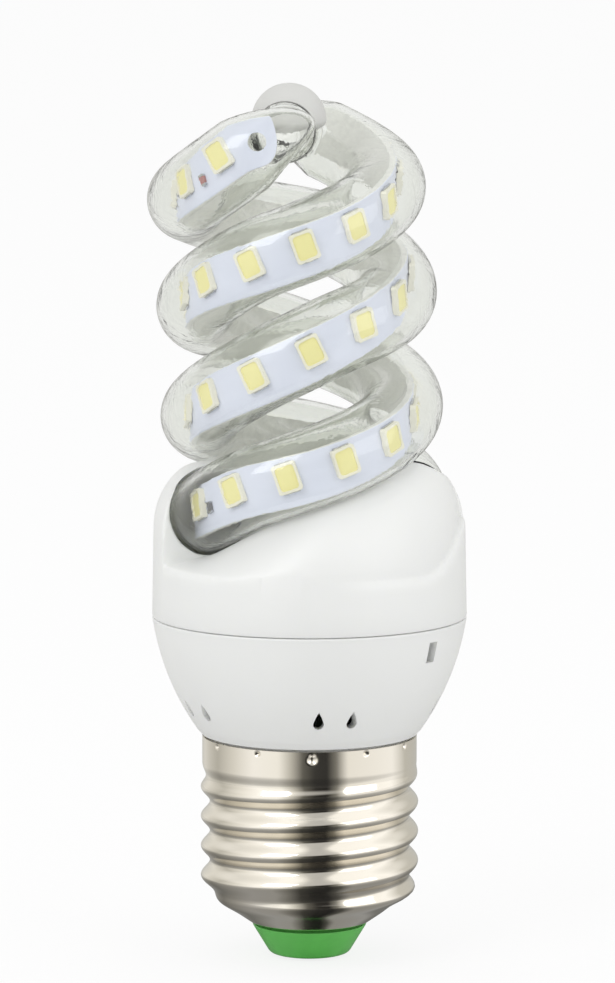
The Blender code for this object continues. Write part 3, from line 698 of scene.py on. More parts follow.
def chip_tree(parts):
    """Seats the parts of a chip on points that carry their own directions."""
    inputs = {}
    for part in parts:
        inputs[part] = "Object"
        inputs[part + " Material"] = "Material"
    tree, given, result = new_tree("chip_row", inputs)
    facing = add_node(tree, "FunctionNodeAxesToRotation", {
        "Primary Axis": attribute(tree, "out", "FLOAT_VECTOR"),
        "Secondary Axis": attribute(tree, "along", "FLOAT_VECTOR")}, primary_axis="Z", secondary_axis="X")
    joined = add_node(tree, "GeometryNodeJoinGeometry")
    for part in parts:
        shape = add_node(tree, "GeometryNodeObjectInfo", {"Object": given[part]})
        seated = add_node(tree, "GeometryNodeInstanceOnPoints", {
            "Points": given["Geometry"], "Instance": shape.outputs["Geometry"],
            "Rotation": facing.outputs["Rotation"]})
        tree.links.new(finished(tree, seated.outputs["Instances"], given[part + " Material"]),
                       joined.inputs["Geometry"])
    tree.links.new(joined.outputs["Geometry"], result.inputs["Geometry"])
    return tree


def ring_tree():
    """Repeats a cutting shape round the bulb's axis, in groups."""
    tree, given, result = new_tree("ring_of_slots", {
        "Groups": "Int", "Per Group": "Int", "First Turn": "Float", "Split": "Float",
        "Material": "Material"})
    math_node = partial(calculate, tree)
    count = math_node("MULTIPLY", given["Groups"], given["Per Group"])
    points = add_node(tree, "GeometryNodePoints", {"Count": count})
    index = add_node(tree, "GeometryNodeInputIndex").outputs[0]
    group = math_node("FLOOR", math_node("DIVIDE", index, given["Per Group"]))
    within = math_node("MODULO", index, given["Per Group"])
    step = math_node("DIVIDE", math.tau, given["Groups"])
    group_turn = math_node("MULTIPLY_ADD", group, step, given["First Turn"])
    slot_turn = math_node("MULTIPLY_ADD", within, given["Split"], group_turn)
    rotation = add_node(tree, "ShaderNodeCombineXYZ", {"Z": slot_turn})
    repeated = add_node(tree, "GeometryNodeInstanceOnPoints", {
        "Points": points.outputs[0], "Instance": given["Geometry"], "Rotation": rotation.outputs["Vector"]})
    tree.links.new(finished(tree, repeated.outputs["Instances"], given["Material"]),
                   result.inputs["Geometry"])
    return tree


def thread_tree():
    """Rolls a round thread into a plain shell and punches dents under its rim."""
    tree, given, result = new_tree("rolled_shell", {
        "Root Radius": "Float", "Crest Radius": "Float", "Pitch": "Float", "Phase": "Float",
        "Thread Top": "Float", "Thread Foot": "Float", "Crimps": "Int", "Crimp Height": "Float",
        "Crimp Radius": "Float", "Crimp Depth": "Float", "Crimp Phase": "Float", "Punch Height": "Float",
        "Punch Radius": "Float", "Material": "Material"})
    math_node = partial(calculate, tree)
    smooth = {"interpolation_type": "SMOOTHSTEP"}
    place = add_node(tree, "GeometryNodeInputPosition")
    parts = add_node(tree, "ShaderNodeSeparateXYZ", {"Vector": place.outputs["Position"]})
    x, y, z = (parts.outputs[axis] for axis in "XYZ")
    plain = attribute(tree, "plain_radius", "FLOAT")
    azimuth = math_node("ARCTAN2", x, math_node("MULTIPLY", y, -1.0))
    turns = math_node("DIVIDE", azimuth, math.tau)
    climb = math_node("SUBTRACT", math_node("DIVIDE", z, given["Pitch"]), turns)
    angle = math_node("MULTIPLY", math_node("SUBTRACT", climb, given["Phase"]), math.tau)
    wave = math_node("MULTIPLY_ADD", math_node("COSINE", angle), 0.5, 0.5)
    depth = math_node("SUBTRACT", given["Crest Radius"], given["Root Radius"])
    threaded = math_node("MULTIPLY_ADD", wave, depth, attribute(tree, "root_radius", "FLOAT"))
    below_top = math_node("SUBTRACT", given["Thread Top"], z)
    above_foot = math_node("SUBTRACT", z, given["Thread Foot"])
    rolled = math_node("MULTIPLY", *(remap(tree, run, 0.0, 1.0, 0.0, given["Pitch"], **smooth)
                                     for run in (below_top, above_foot)))
    offset = math_node("MULTIPLY", math_node("SUBTRACT", threaded, plain), rolled)
    spacing = math_node("DIVIDE", math.tau, given["Crimps"])
    half_spacing = math_node("MULTIPLY", spacing, 0.5)
    from_front = math_node("SUBTRACT", azimuth, given["Crimp Phase"])
    from_crimp = math_node("WRAP", from_front, half_spacing, math_node("MULTIPLY", half_spacing, -1.0))

    def dented(beside, height, radius):
        """How much of a dent is left at a distance from its middle."""
        sideways = math_node("MULTIPLY", beside, plain)
        upwards = math_node("SUBTRACT", z, height)
        distance = math_node("SQRT", math_node("ADD", math_node("MULTIPLY", sideways, sideways),
                                               math_node("MULTIPLY", upwards, upwards)))
        return remap(tree, distance, 1.0, 0.0, 0.0, radius, **smooth)

    crimp = dented(from_crimp, given["Crimp Height"], given["Crimp Radius"])
    punch = dented(from_front, given["Punch Height"], given["Punch Radius"])
    dent = math_node("MULTIPLY", math_node("MAXIMUM", crimp, punch), given["Crimp Depth"])
    push = math_node("SUBTRACT", offset, dent)
    level = add_node(tree, "ShaderNodeCombineXYZ", {"X": x, "Y": y})
    outwards = add_node(tree, "ShaderNodeVectorMath", {0: level.outputs["Vector"]}, operation="NORMALIZE")
    shift = add_node(tree, "ShaderNodeVectorMath", {0: outwards.outputs["Vector"], "Scale": push},
                     operation="SCALE")
    shaped = add_node(tree, "GeometryNodeSetPosition", {
        "Geometry": given["Geometry"], "Offset": shift.outputs["Vector"]})
    tree.links.new(finished(tree, shaped.outputs["Geometry"], given["Material"]), result.inputs["Geometry"])
    return tree


# Glass

TUBE_WELD = 0.005 * MM      # points of a tube nearer than this are one
KNOB_POINTS = 64


def tube_path(name, arm, inset, last):
    """The arm's centre line as a curve, from its rounded end down, with its share of the full radius."""
    span = END_ANGLE - END_TIP[arm]
    length_of_end = math.radians(span) * bpy.context.scene.bulb_glass.top_diameter / 2
    stations = []
    for lift in spread(88.0, 4.0, 6.0):
        share = math.sin(math.radians(lift))
        run = share * (1 - inset / length_of_end)
        stations.append((arm_centre(arm, END_ANGLE - run * span), end_width(arm, END_ANGLE - share * span)))
    stations += [(arm_centre(arm, down), 1.0) for down in spread(END_ANGLE, last, 3.0)]
    curve = bpy.data.curves.new(name, "CURVE")
    curve.dimensions = "3D"
    spline = curve.splines.new("POLY")
    spline.points.add(len(stations) - 1)
    for point, (spot, share) in zip(spline.points, stations):
        point.co = (*spot, 1.0)
        point.radius = share
    return add_object(name, curve)


def arm_tube(name, arm, inset, last, tree):
    glass = bpy.context.scene.bulb_glass
    base = tube_path(name, arm, inset, last)
    tube = run_tree(base, tree, {"Tube Diameter": glass.tube_diameter - 2 * inset, "Sides": glass.sides})
    shell = bmesh.new()
    shell.from_mesh(tube.data)
    bmesh.ops.remove_doubles(shell, verts=shell.verts, dist=TUBE_WELD)
    bmesh.ops.recalc_face_normals(shell, faces=shell.faces)
    shell.to_mesh(tube.data)
    shell.free()
    return tube


def knob_middle():
    glass = bpy.context.scene.bulb_glass
    return coil_axis_at(glass.height - glass.knob_diameter / 2) + Vector((KNOB_SHIFT, 0, 0))


def bridge(name, inset):
    """The tube between the tops of the arms, with round ends that melt into them."""
    glass = bpy.context.scene.bulb_glass
    radius = glass.bridge_diameter / 2 - inset
    middle = knob_middle() - Vector((0, 0, BRIDGE_SINK))
    rings = []
    for arm, side in (("a", 1), ("b", -1)):
        tip = arm_centre(arm, 0.0)
        half = []
        for lift in spread(10.0, 90.0, 10.0):
            sink = 1 - math.cos(math.radians(lift))
            at = tip.lerp(middle, (sink * radius + inset) / (tip - middle).length)
            reach = radius * math.sin(math.radians(lift))
            half.append([at + Vector((reach * math.cos(t), 0, reach * math.sin(t)))
                         for t in (math.tau * i / glass.sides for i in range(glass.sides))])
        rings += half if side > 0 else half[::-1]
    return skin(name, rings)


class BULB_OT_glass(bpy.types.Operator):
    """Make the blown glass spiral and the knob that seals it"""
    bl_idname = "bulb.glass"
    bl_label = "Glass Spiral"

    def execute(self, context):
        glass = context.scene.bulb_glass
        tree = tube_tree()
        last = foot_down()
        spiral = arm_tube("coil_glass", "a", 0.0, last, tree)
        spiral = combine(spiral, arm_tube("arm_b_form", "b", 0.0, last, tree), "UNION")
        spiral = combine(spiral, bridge("bridge_form", 0.0), "UNION")
        for arm in ("a", "b"):
            spiral = combine(spiral, arm_tube(f"arm_{arm}_bore", arm, glass.tube_wall, last + 1, tree))
        spiral = combine(spiral, bridge("bridge_bore", glass.tube_wall))
        soften_creases(spiral, sharper_than=24, reach=1.1 * MM, fineness=0.3 * MM, passes=24, above=90 * MM)
        shade(spiral, [blown_glass()], sharp=50)
        hand_over(spiral, "glass", "glass_spiral")

        radius = glass.knob_diameter / 2
        middle = knob_middle()
        rings = []
        for lift in spread(-86, 86, 4):
            rise = radius * math.sin(math.radians(lift)) * (1 if lift > 0 else KNOB_UNDERSIDE)
            rings.append([middle + around(radius * math.cos(math.radians(lift)), rise, 360 * i / KNOB_POINTS)
                          for i in range(KNOB_POINTS)])
        knob = skin("seal_knob", rings)
        shade(knob, [ground_glass()])
        hand_over(knob, "glass", "glass_spiral")
        return {"FINISHED"}


# Strips and chips

MASK_HEIGHT = 0.08 * MM
MASK_INSET = 0.06 * MM      # from the strip's edges to the solder mask's
STRIP_EDGE = 0.08 * MM      # bevel on the edges of a layer's face
HOLE_CUT = (-1 * MM, 3 * MM)    # from where to where the hole's cutting shape runs, off the strip's back
HOLE_POINTS = 24
RESISTOR_BODY = (0.68 * MM, 0.92 * MM, 0.4 * MM)
RESISTOR_END = (0.72 * MM, 0.26 * MM, 0.43 * MM)
RESISTOR_END_AT = 0.56 * MM     # from the resistor's middle to the middle of its end
RESISTOR_CHAMFER = 0.05 * MM
CHIP_RIM = 0.28 * MM        # width of the frame round the phosphor
CHIP_CHAMFER = 0.18 * MM
PHOSPHOR_CORNER = 0.45 * MM
PHOSPHOR_SINK = 0.12 * MM   # below the top of the frame
WELL_FLOOR = 0.4            # of the frame's height
TERMINAL_RUN = 0.7          # length of a terminal, as a share of the chip's
TERMINAL_SIZE = (0.5 * MM, 0.28 * MM)
TERMINAL_INSET = 0.1 * MM


def strip_frame(arm, down):
    """The middle of the strip's back face, its direction down the arm, outwards, and upwards across it."""
    at, along, out, up = arm_frame(arm, down)
    return at - up * strip_drop(arm, down) + out * bpy.context.scene.bulb_light.strip_back, along, out, up


def strip_layer(name, arm, low, high, inset):
    """One layer of the strip between two heights over its back, with a UV map along and across it."""
    light, glass = bpy.context.scene.bulb_light, bpy.context.scene.bulb_glass
    half = light.strip_width / 2
    first, last = STRIP_TOP_GAP[arm], foot_down() - STRIP_FOOT_GAP
    per_degree = math.radians(glass.top_diameter / 2)
    round_off = math.degrees(half / (glass.top_diameter / 2))
    stations = [first + round_off * (1 - math.cos(math.radians(t))) for t in range(6, 90, 7)]
    stations += spread(first + round_off, last, 2.0)
    rings, lengths = [], []
    for down in stations:
        at, _, out, up = strip_frame(arm, down)
        width = strip_half(arm, down) - inset
        rings.append([at + out * r + up * w for r, w in (
            (low, -width), (high - STRIP_EDGE, -width), (high, STRIP_EDGE - width),
            (high, width - STRIP_EDGE), (high - STRIP_EDGE, width), (low, width))])
        lengths.append((down - first) * per_degree)
    layer = skin(name, rings)
    uv = layer.data.uv_layers.new(name="strip")
    across = (-half, -half, -half, half, half, half)
    for loop in layer.data.loops:
        station, side = divmod(loop.vertex_index, len(across))
        uv.data[loop.index].uv = (lengths[station], across[side])
    return layer


def join(pieces, name):
    """One mesh of several, each keeping its own materials."""
    meshes = [piece.data for piece in pieces]
    for piece in pieces[1:]:
        piece.select_set(True)
    with bpy.context.temp_override(active_object=pieces[0], selected_editable_objects=pieces):
        bpy.ops.object.join()
    pieces[0].name = name
    for mesh in meshes[1:]:
        if mesh.users == 0:
            bpy.data.meshes.remove(mesh)
    return pieces[0]


def box(name, size, at=(0, 0, 0), chamfer=0.0):
    """A block on the plane through its place, with chamfered upright edges."""
    half_x, half_y = size[0] / 2, size[1] / 2
    outline = [(-half_x, -half_y), (half_x, -half_y), (half_x, half_y), (-half_x, half_y)]
    if chamfer:
        outline = [(-half_x + chamfer, -half_y), (half_x - chamfer, -half_y), (half_x, -half_y + chamfer),
                   (half_x, half_y - chamfer), (half_x - chamfer, half_y), (-half_x + chamfer, half_y),
                   (-half_x, half_y - chamfer), (-half_x, -half_y + chamfer)]
    rings = [[Vector(at) + Vector((x, y, z)) for x, y in outline] for z in (0.0, size[2])]
    return skin(name, rings)


class BULB_OT_strips(bpy.types.Operator):
    """Make the aluminium strips with their solder mask and chip resistors"""
    bl_idname = "bulb.strips"
    bl_label = "Strips"

    def execute(self, context):
        light, glass = context.scene.bulb_light, context.scene.bulb_glass
        mask_finish, metal = solder_mask(), rolled_aluminium()
        resistor_finish = {"a": grained("resistor_coating_brown", "#b47a76", 0.35, 0.2),
                           "b": grained("resistor_coating_grey", "#707074", 0.35, 0.2)}
        tinned = grained("tin_solder_reflowed", "#c9cacb", 0.25, 0.3, metallic=1.0)
        top = light.strip_thickness
        for arm in ("a", "b"):
            core = strip_layer(f"strip_core_{arm}", arm, 0.0, top - MASK_HEIGHT, 0.0)
            mask = strip_layer(f"strip_mask_{arm}", arm, top - MASK_HEIGHT, top, MASK_INSET)
            hole_down = STRIP_TOP_GAP[arm] + math.degrees(HOLE_INSET / (glass.top_diameter / 2))
            at, along, out, up = strip_frame(arm, hole_down)
            pieces = []
            for layer, finish in ((core, metal), (mask, mask_finish)):
                rings = [circle(at + out * depth, light.hole_diameter / 2, along, up, HOLE_POINTS)
                         for depth in HOLE_CUT]
                layer = combine(layer, skin("hole_form", rings))
                shade(layer, [finish], sharp=35)
                pieces.append(layer)
            down = LED_FIRST[arm] + LED_STEP[arm] * RESISTOR_AT[arm]
            at, along, out, up = strip_frame(arm, down)
            seat = at + out * top - up * RESISTOR_DROP[arm]
            for part, size, shift, finish in (
                    ("resistor_body", RESISTOR_BODY, 0.0, resistor_finish[arm]),
                    ("resistor_end_low", RESISTOR_END, -RESISTOR_END_AT, tinned),
                    ("resistor_end_high", RESISTOR_END, RESISTOR_END_AT, tinned)):
                block = box(part, size, (0, shift, 0), RESISTOR_CHAMFER)
                for vert in block.data.vertices:
                    vert.co = seat + along * vert.co.x + up * vert.co.y + out * vert.co.z
                shade(block, [finish], sharp=35)
                pieces.append(block)
            hand_over(join(pieces, f"strip_{arm}"), "strip", f"led_strip_{arm}")
        return {"FINISHED"}


def chip_parts(light):
    """The frame, the phosphor and the terminals of one chip, upright on its seat."""
    long, wide, high = light.chip_length, light.chip_width, light.chip_height
    outline = []
    for x, y in ((-1, -1), (1, -1), (1, 1), (-1, 1)):
        middle = Vector((x * (long / 2 - CHIP_RIM - PHOSPHOR_CORNER),
                         y * (wide / 2 - CHIP_RIM - PHOSPHOR_CORNER), 0))
        first = math.atan2(y, x) - math.pi / 4
        outline += [middle + PHOSPHOR_CORNER * Vector((math.cos(t), math.sin(t), 0))
                    for t in (first + math.pi / 2 * i / 4 for i in range(5))]

    def stack(name, layers):
        """A solid over the outline at heights with a scale each."""
        return skin(name, [[point * scale + Vector((0, 0, z)) for point in outline] for z, scale in layers])

    low, top = high * WELL_FLOOR, high - PHOSPHOR_SINK
    frame_piece = combine(box("chip_frame", (long, wide, high), chamfer=CHIP_CHAMFER),
                          stack("chip_well", ((low, 0.94), (high + 0.05 * MM, 1.0))))
    phosphor = stack("chip_phosphor", ((low, 0.94), (top - 0.05 * MM, 0.985), (top, 0.9),
                                       (top + 0.03 * MM, 0.5)))
    ends = [box(f"chip_end_{side}", (long * TERMINAL_RUN, *TERMINAL_SIZE),
                (0, side * (wide / 2 - TERMINAL_INSET), 0)) for side in (-1, 1)]
    return {"Frame": frame_piece, "Phosphor": phosphor, "Terminals": join(ends, "chip_terminals")}


class BULB_OT_chips(bpy.types.Operator):
    """Make the light-emitting chips on both strips"""
    bl_idname = "bulb.chips"
    bl_label = "Chips"

    def execute(self, context):
        light, colours = context.scene.bulb_light, context.scene.bulb_colours
        parts = chip_parts(light)
        finishes = {
            "Frame": grained("polyphthalamide_white_moulded", colours.frame, 0.4, 0.15),
            "Phosphor": grained("silicone_phosphor_cast", colours.phosphor, 0.32, 0.09, 0.02, 0.0, 0.92),
            "Terminals": grained("tinned_copper_stamped", "#cfd0d1", 0.22, 0.3, 0.01, 1.0)}
        tree = chip_tree(parts)
        for arm in ("a", "b"):
            seats = []
            for i in range(light.chip_count):
                down = LED_FIRST[arm] + LED_STEP[arm] * i
                at, along, out, up = strip_frame(arm, down)
                seats.append((at + out * light.strip_thickness + up * light.chip_rise, out, along))
            mesh = bpy.data.meshes.new(f"chips_{arm}")
            mesh.from_pydata([seat[0] for seat in seats], [], [])
            row = add_object(f"chips_{arm}", mesh)
            for label, column in (("out", 1), ("along", 2)):
                carry(row, label, "FLOAT_VECTOR", "vector", [c for seat in seats for c in seat[column]])
            chips = run_tree(row, tree, {**parts, **{part + " Material": finishes[part] for part in parts}})
            shade(chips, None, sharp=35)
            hand_over(chips, "phosphor_chip",
                      *(f"led_{arm}_{i + 1:02d}" for i in range(light.chip_count)))
        for part in parts.values():
            bpy.data.objects.remove(part)
        return {"FINISHED"}


# Housing

HOUSING_POINTS = 192        # round the turned forms
HOLLOW_POINTS = 96
NECK_LENGTH = 5.0 * MM      # of the cup's collar, inside the cap
COVER_LEAN = 0.2 * MM       # how far the hood draws in up to its shoulder
LIP_DEPTH = 2.4 * MM        # of the hood's lip, inside the cup
SEAM_GAP = 0.08 * MM
EDGE = 0.2 * MM             # rounding of the moulded edges at the seam
SILL_FALL = 0.5 * MM        # how far the sill sinks while its edge is sharp
SILL_FLAT = 116.0           # azimuth for which it stays low
SILL_CLIMB = 44.0           # azimuth over which it climbs past the hood's shoulder
SILL_TOP = 5.5 * MM         # how far it climbs
ROUND_FROM = 32.0           # azimuth from which the land's edge melts into the hood's side
ROUND_SPAN = 46.0
LAND_OVERHANG = 0.15 * MM   # how far outside the hood's side the melted edge would end
CHANNEL_SPAN = 164.0        # azimuth from a port to where the arm has climbed clear
CHANNEL_GAP = 0.35 * MM     # round the tube
CHANNEL_INNER = 3.6 * MM    # radius of the channel's inner side
CHANNEL_HEADROOM = 14.0 * MM    # over the middle of the tube
CHANNEL_FLOOR_DROP = 1.3 * MM   # below the tube, on the side of the hollow
PORT_CUT_SPAN = 12.0        # azimuth that the bore of a port reaches up the arm
VENT_AZIMUTH = 4.0          # of the front pair's left slot
VENT_SPLIT = 15.0           # azimuth between the slots of a pair
LATCH_AZIMUTH = 52.0        # of the window at the front
LATCH_SIZE = (1.5 * MM, 2.5 * MM)
LATCH_HEIGHT = 39.0 * MM
LIP_SLACK = 0.1 * MM        # besides the usual clearance, between the lip and the cup
OVERRUN = 3 * MM            # how far a cutting shape runs on past what it cuts
OVERLAP = 1 * MM            # how far the lip reaches into the hood


def eased(r, z, side):
    """Points round a moulded edge at the seam, which faces down for a side of 1 and up for -1."""
    return [(r - EDGE, z), (r - EDGE * 0.3, z + side * EDGE * 0.25), (r, z + side * EDGE)]


def cup_side(inset):
    """Points up the side of the cup, an arc that bulges out of the straight cone, set in by a wall."""
    housing, cap = bpy.context.scene.bulb_housing, bpy.context.scene.bulb_cap
    low = Vector((housing.base_diameter / 2 - inset, cap.rim + FIT + inset * 0.8))
    high = Vector((housing.diameter / 2 - inset, housing.seam - SEAM_GAP / 2))
    chord = high - low
    radius = (chord.length ** 2 / 4 + housing.bulge ** 2) / (2 * housing.bulge)
    half = math.asin(chord.length / 2 / radius)
    along = chord.normalized()
    out = Vector((along.y, -along.x))
    points = []
    for bend in spread(-half, half, half / 12):
        run = chord.length / 2 + radius * math.sin(bend)
        rise = radius * math.cos(bend) - (radius - housing.bulge)
        points.append(tuple(low + along * run + out * rise))
    return points


def cup_radius(z, inset=0.0):
    side = cup_side(inset)
    for (r0, z0), (r1, z1) in zip(side, side[1:]):
        if z0 <= z <= z1:
            return r0 + (r1 - r0) * (z - z0) / (z1 - z0)
    return side[-1][0] if z > side[-1][1] else side[0][0]


def slot_form(name, outline, z, radius, depth):
    """A straight cutting shape through the front of the wall."""
    rings = [[Vector((x, -r, z + y)) for x, y in outline] for r in (radius - depth, radius + depth)]
    return skin(name, rings)


class BULB_OT_cup(bpy.types.Operator):
    """Make the white cup with its vent slots and latch windows"""
    bl_idname = "bulb.cup"
    bl_label = "Lower Housing"

    def execute(self, context):
        housing, cap = context.scene.bulb_housing, context.scene.bulb_cap
        base = cap.rim + FIT
        neck = cap.skirt_diameter / 2 - cap.wall - FIT
        outside = cup_side(0.0)
        profile = [(neck, base - NECK_LENGTH), (neck, base), *eased(*outside[0], 1), *outside[1:-1],
                   *reversed(eased(*outside[-1], -1)), *reversed(cup_side(housing.wall)),
                   (neck - housing.wall, base), (neck - housing.wall, base - NECK_LENGTH)]
        cup = turned_ring("cup", profile, HOUSING_POINTS)
        radius = housing.vent_width / 2
        low = -housing.vent_length / 2 + radius
        drop = [(radius * math.cos(math.radians(t)), low + radius * math.sin(math.radians(t)))
                for t in range(170, 371, 20)]
        drop += [(radius * 0.55, housing.vent_length * 0.22), (0, housing.vent_length / 2),
                 (-radius * 0.55, housing.vent_length * 0.22)]
        tree = ring_tree()
        vents = slot_form("vent_form", drop, housing.vent_height, cup_radius(housing.vent_height),
                          3 * housing.wall)
        vents = run_tree(vents, tree, {
            "Groups": housing.vent_pairs, "Per Group": 2, "First Turn": math.radians(VENT_AZIMUTH),
            "Split": math.radians(VENT_SPLIT)})
        cup = combine(cup, vents)
        wide, high = (side / 2 for side in LATCH_SIZE)
        window = [(-wide, -high), (wide, -high), (wide, high), (-wide, high)]
        windows = slot_form("latch_form", window, LATCH_HEIGHT, cup_radius(LATCH_HEIGHT), 1.5 * housing.wall)
        windows = run_tree(windows, tree, {"Groups": 2, "Per Group": 1,
                                           "First Turn": math.radians(LATCH_AZIMUTH)})
        cup = combine(cup, windows)
        shade(cup, [shared("polycarbonate_white_moulded", white_moulding)], sharp=32)
        hand_over(cup, "housing", "lower_housing")
        return {"FINISHED"}


def hood_profile(inset, foot):
    """Side, shoulder and top of the hood, set in by a wall, from its foot up to its flat top."""
    housing = bpy.context.scene.bulb_housing
    run, rise = housing.shoulder_run, housing.shoulder_rise
    middle = housing.diameter / 2 - COVER_LEAN - run
    shoulder = housing.cover_top - rise
    points = [(housing.diameter / 2 - inset, foot)]
    for lift in spread(0, 90, 5):
        bend = math.radians(lift)
        points.append((middle + (run - inset) * math.cos(bend), shoulder + (rise - inset) * math.sin(bend)))
    return points


def channel_form(name, arm, grow):
    """What the hood leaves open round an arm, from its port to where the arm has climbed clear."""
    glass, housing = bpy.context.scene.bulb_glass, bpy.context.scene.bulb_housing
    start = -math.degrees(grow / (glass.foot_diameter / 2))
    rim = housing.diameter / 2 - COVER_LEAN + LAND_OVERHANG
    reach = glass.tube_diameter / 2 + CHANNEL_GAP
    rings = []
    for travel in spread(start, CHANNEL_SPAN, 2.5):
        down = port_down() - travel
        centre, along, _, _ = arm_frame(arm, down)
        steep = 1 / math.hypot(along.x, along.y)
        middle, radius = coil_radius(down), reach + grow
        floor = max(housing.floor, centre.z - reach * steep - CHANNEL_FLOOR_DROP) - grow
        under = centre.z - reach * steep
        sill = housing.sill - SILL_FALL * smooth_step(travel / ROUND_FROM)
        sill += SILL_TOP * smooth_step((travel - SILL_FLAT) / SILL_CLIMB)
        sunk = grow * math.hypot(1, (under - sill) / (rim - middle))
        melted = smooth_step((travel - ROUND_FROM) / ROUND_SPAN)
        over = centre.z + CHANNEL_HEADROOM
        section = [(CHANNEL_INNER, over), (CHANNEL_INNER, floor)]
        for bend in (math.radians(t) for t in spread(210, 270, 8)):
            section.append((middle + radius * math.cos(bend), centre.z + radius * steep * math.sin(bend)))
        for bend in (math.radians(t) for t in spread(10, 90, 10)):
            share = math.sin(bend)
            straight = Vector((middle + (rim - middle) * share, under + (sill - under) * share - sunk))
            curved = Vector((middle + (rim - middle - grow) * share,
                             sill + (under - sill - grow) * math.cos(bend)))
            section.append(tuple(straight.lerp(curved, melted)))
        section += [(rim + OVERRUN, section[-1][1]), (rim + OVERRUN, over)]
        lean = coil_axis_at(centre.z) - Vector((0, 0, centre.z))
        rings.append([around(r, z, ARM_TURN[arm] - down) + lean for r, z in section])
    return skin(name, rings)


def port_form(name, arm):
    """The bore of a port."""
    glass = bpy.context.scene.bulb_glass
    radius = glass.tube_diameter / 2 + FIT
    rings = []
    for down in spread(port_down() - PORT_CUT_SPAN, foot_down() + 3, 3.0):
        at, _, out, up = arm_frame(arm, down)
        rings.append(circle(at, radius, out, up, glass.sides))
    return skin(name, rings)


class BULB_OT_hood(bpy.types.Operator):
    """Make the white hood with its channels and ports"""
    bl_idname = "bulb.hood"
    bl_label = "Upper Cover"

    def execute(self, context):
        housing, glass = context.scene.bulb_housing, context.scene.bulb_glass
        foot = housing.seam + SEAM_GAP / 2
        wall = housing.cover_wall
        profile = hood_profile(0.0, foot)
        hood = turned("hood", eased(*profile[0], 1) + profile[1:], HOUSING_POINTS)
        lip_z = housing.seam - LIP_DEPTH
        lip = cup_radius(lip_z, housing.wall) - FIT - LIP_SLACK
        inside = turned("hood_inside", [(lip - wall, foot - OVERLAP), (lip - wall, foot + wall)]
                        + hood_profile(wall, foot + 2 * wall), HOUSING_POINTS)
        hollow = glass.foot_diameter / 2 - glass.tube_diameter / 2 - CHANNEL_GAP - wall
        for arm in ("a", "b"):
            hood = combine(hood, channel_form(f"channel_{arm}", arm, 0.0))
            inside = combine(inside, channel_form(f"channel_inside_{arm}", arm, wall))
        for grow in (0.0, wall):
            shaft = turned("hollow_form", [(hollow + grow, housing.floor - grow),
                                           (hollow + grow, housing.cover_top + OVERRUN)], HOLLOW_POINTS)
            if grow:
                inside = combine(inside, shaft)
            else:
                hood = combine(hood, shaft)
        for arm in ("a", "b"):
            hood = combine(hood, port_form(f"port_{arm}", arm))
        hood = combine(hood, inside)
        lip_ring = turned_ring("lip_form", [(lip - wall, lip_z), (lip, lip_z), (lip, foot + OVERLAP),
                                            (lip - wall, foot + OVERLAP)], HOUSING_POINTS)
        hood = combine(hood, lip_ring, "UNION")
        soften_creases(hood, sharper_than=30, reach=0.7 * MM, fineness=0.3 * MM, passes=10, above=46 * MM)
        shade(hood, [shared("polycarbonate_white_moulded", white_moulding)], sharp=40)
        hand_over(hood, "housing", "upper_cover")
        return {"FINISHED"}


# Cap

CURVE_TOP = 9.6 * MM        # where the rolled-in foot of the shell begins
THREAD_PHASE = 0.99
THREAD_FOOT = 0.7 * MM      # where the thread begins, over the foot
CRIMP_DROP = 0.45 * MM      # the dents' middle, below the rim
SHELL_POINTS = 440
INSULATOR_POINTS = 128
CONTACT_POINTS = 96
PUNCH_DROP = 0.95 * MM
CRIMP_PHASE = 1.4


class BULB_OT_shell(bpy.types.Operator):
    """Make the rolled and nickel-plated screw shell"""
    bl_idname = "bulb.shell"
    bl_label = "Screw Shell"

    def execute(self, context):
        cap = context.scene.bulb_cap
        root, foot_r, skirt = cap.root_diameter / 2, cap.foot_diameter / 2, cap.skirt_diameter / 2
        step_z = (cap.thread_top + CURVE_TOP + 1 * MM) / 2    # hidden, because the thread covers it
        heights = spread(cap.foot, CURVE_TOP, 0.3 * MM)
        heights += spread(CURVE_TOP, cap.thread_top, 0.2 * MM)[1:]
        heights += spread(cap.thread_top, cap.rim, 0.12 * MM)[1:]

        def plain_radius(z):
            if z <= CURVE_TOP:
                climb = (z - cap.foot) / (CURVE_TOP - cap.foot)
                return foot_r + (root - foot_r) * math.sin(math.pi / 2 * climb)
            return skirt if z > step_z else root

        inner = heights[::3] + [heights[-1]]
        rows = [(plain_radius(z), plain_radius(z), z) for z in heights]
        rows += [(max(plain_radius(z) - cap.wall, foot_r - cap.wall), plain_radius(z), z)
                 for z in reversed(inner)]
        shell = skin("rolled_shell", [[around(r, z, 360 * i / SHELL_POINTS) for r, _, z in rows]
                                      for i in range(SHELL_POINTS)], closed=True)
        plain_radii = [plain for _ in range(SHELL_POINTS) for _, plain, _ in rows]
        carry(shell, "plain_radius", "FLOAT", "value", plain_radii)
        carry(shell, "root_radius", "FLOAT", "value", [min(plain, root) for plain in plain_radii])
        shell = run_tree(shell, thread_tree(), {
            "Root Radius": root, "Crest Radius": cap.thread_diameter / 2, "Pitch": cap.pitch,
            "Phase": THREAD_PHASE, "Thread Top": cap.thread_top, "Thread Foot": cap.foot + THREAD_FOOT,
            "Crimps": cap.crimps, "Crimp Height": cap.rim - CRIMP_DROP, "Crimp Radius": cap.crimp_radius,
            "Crimp Depth": cap.crimp_depth, "Crimp Phase": math.radians(CRIMP_PHASE),
            "Punch Height": cap.rim - PUNCH_DROP, "Punch Radius": cap.punch_radius,
            "Material": shared("nickel_plated_brass_rolled", plated_nickel)})
        shade(shell, None, sharp=50)
        hand_over(shell, "nickel", "screw_shell")
        return {"FINISHED"}


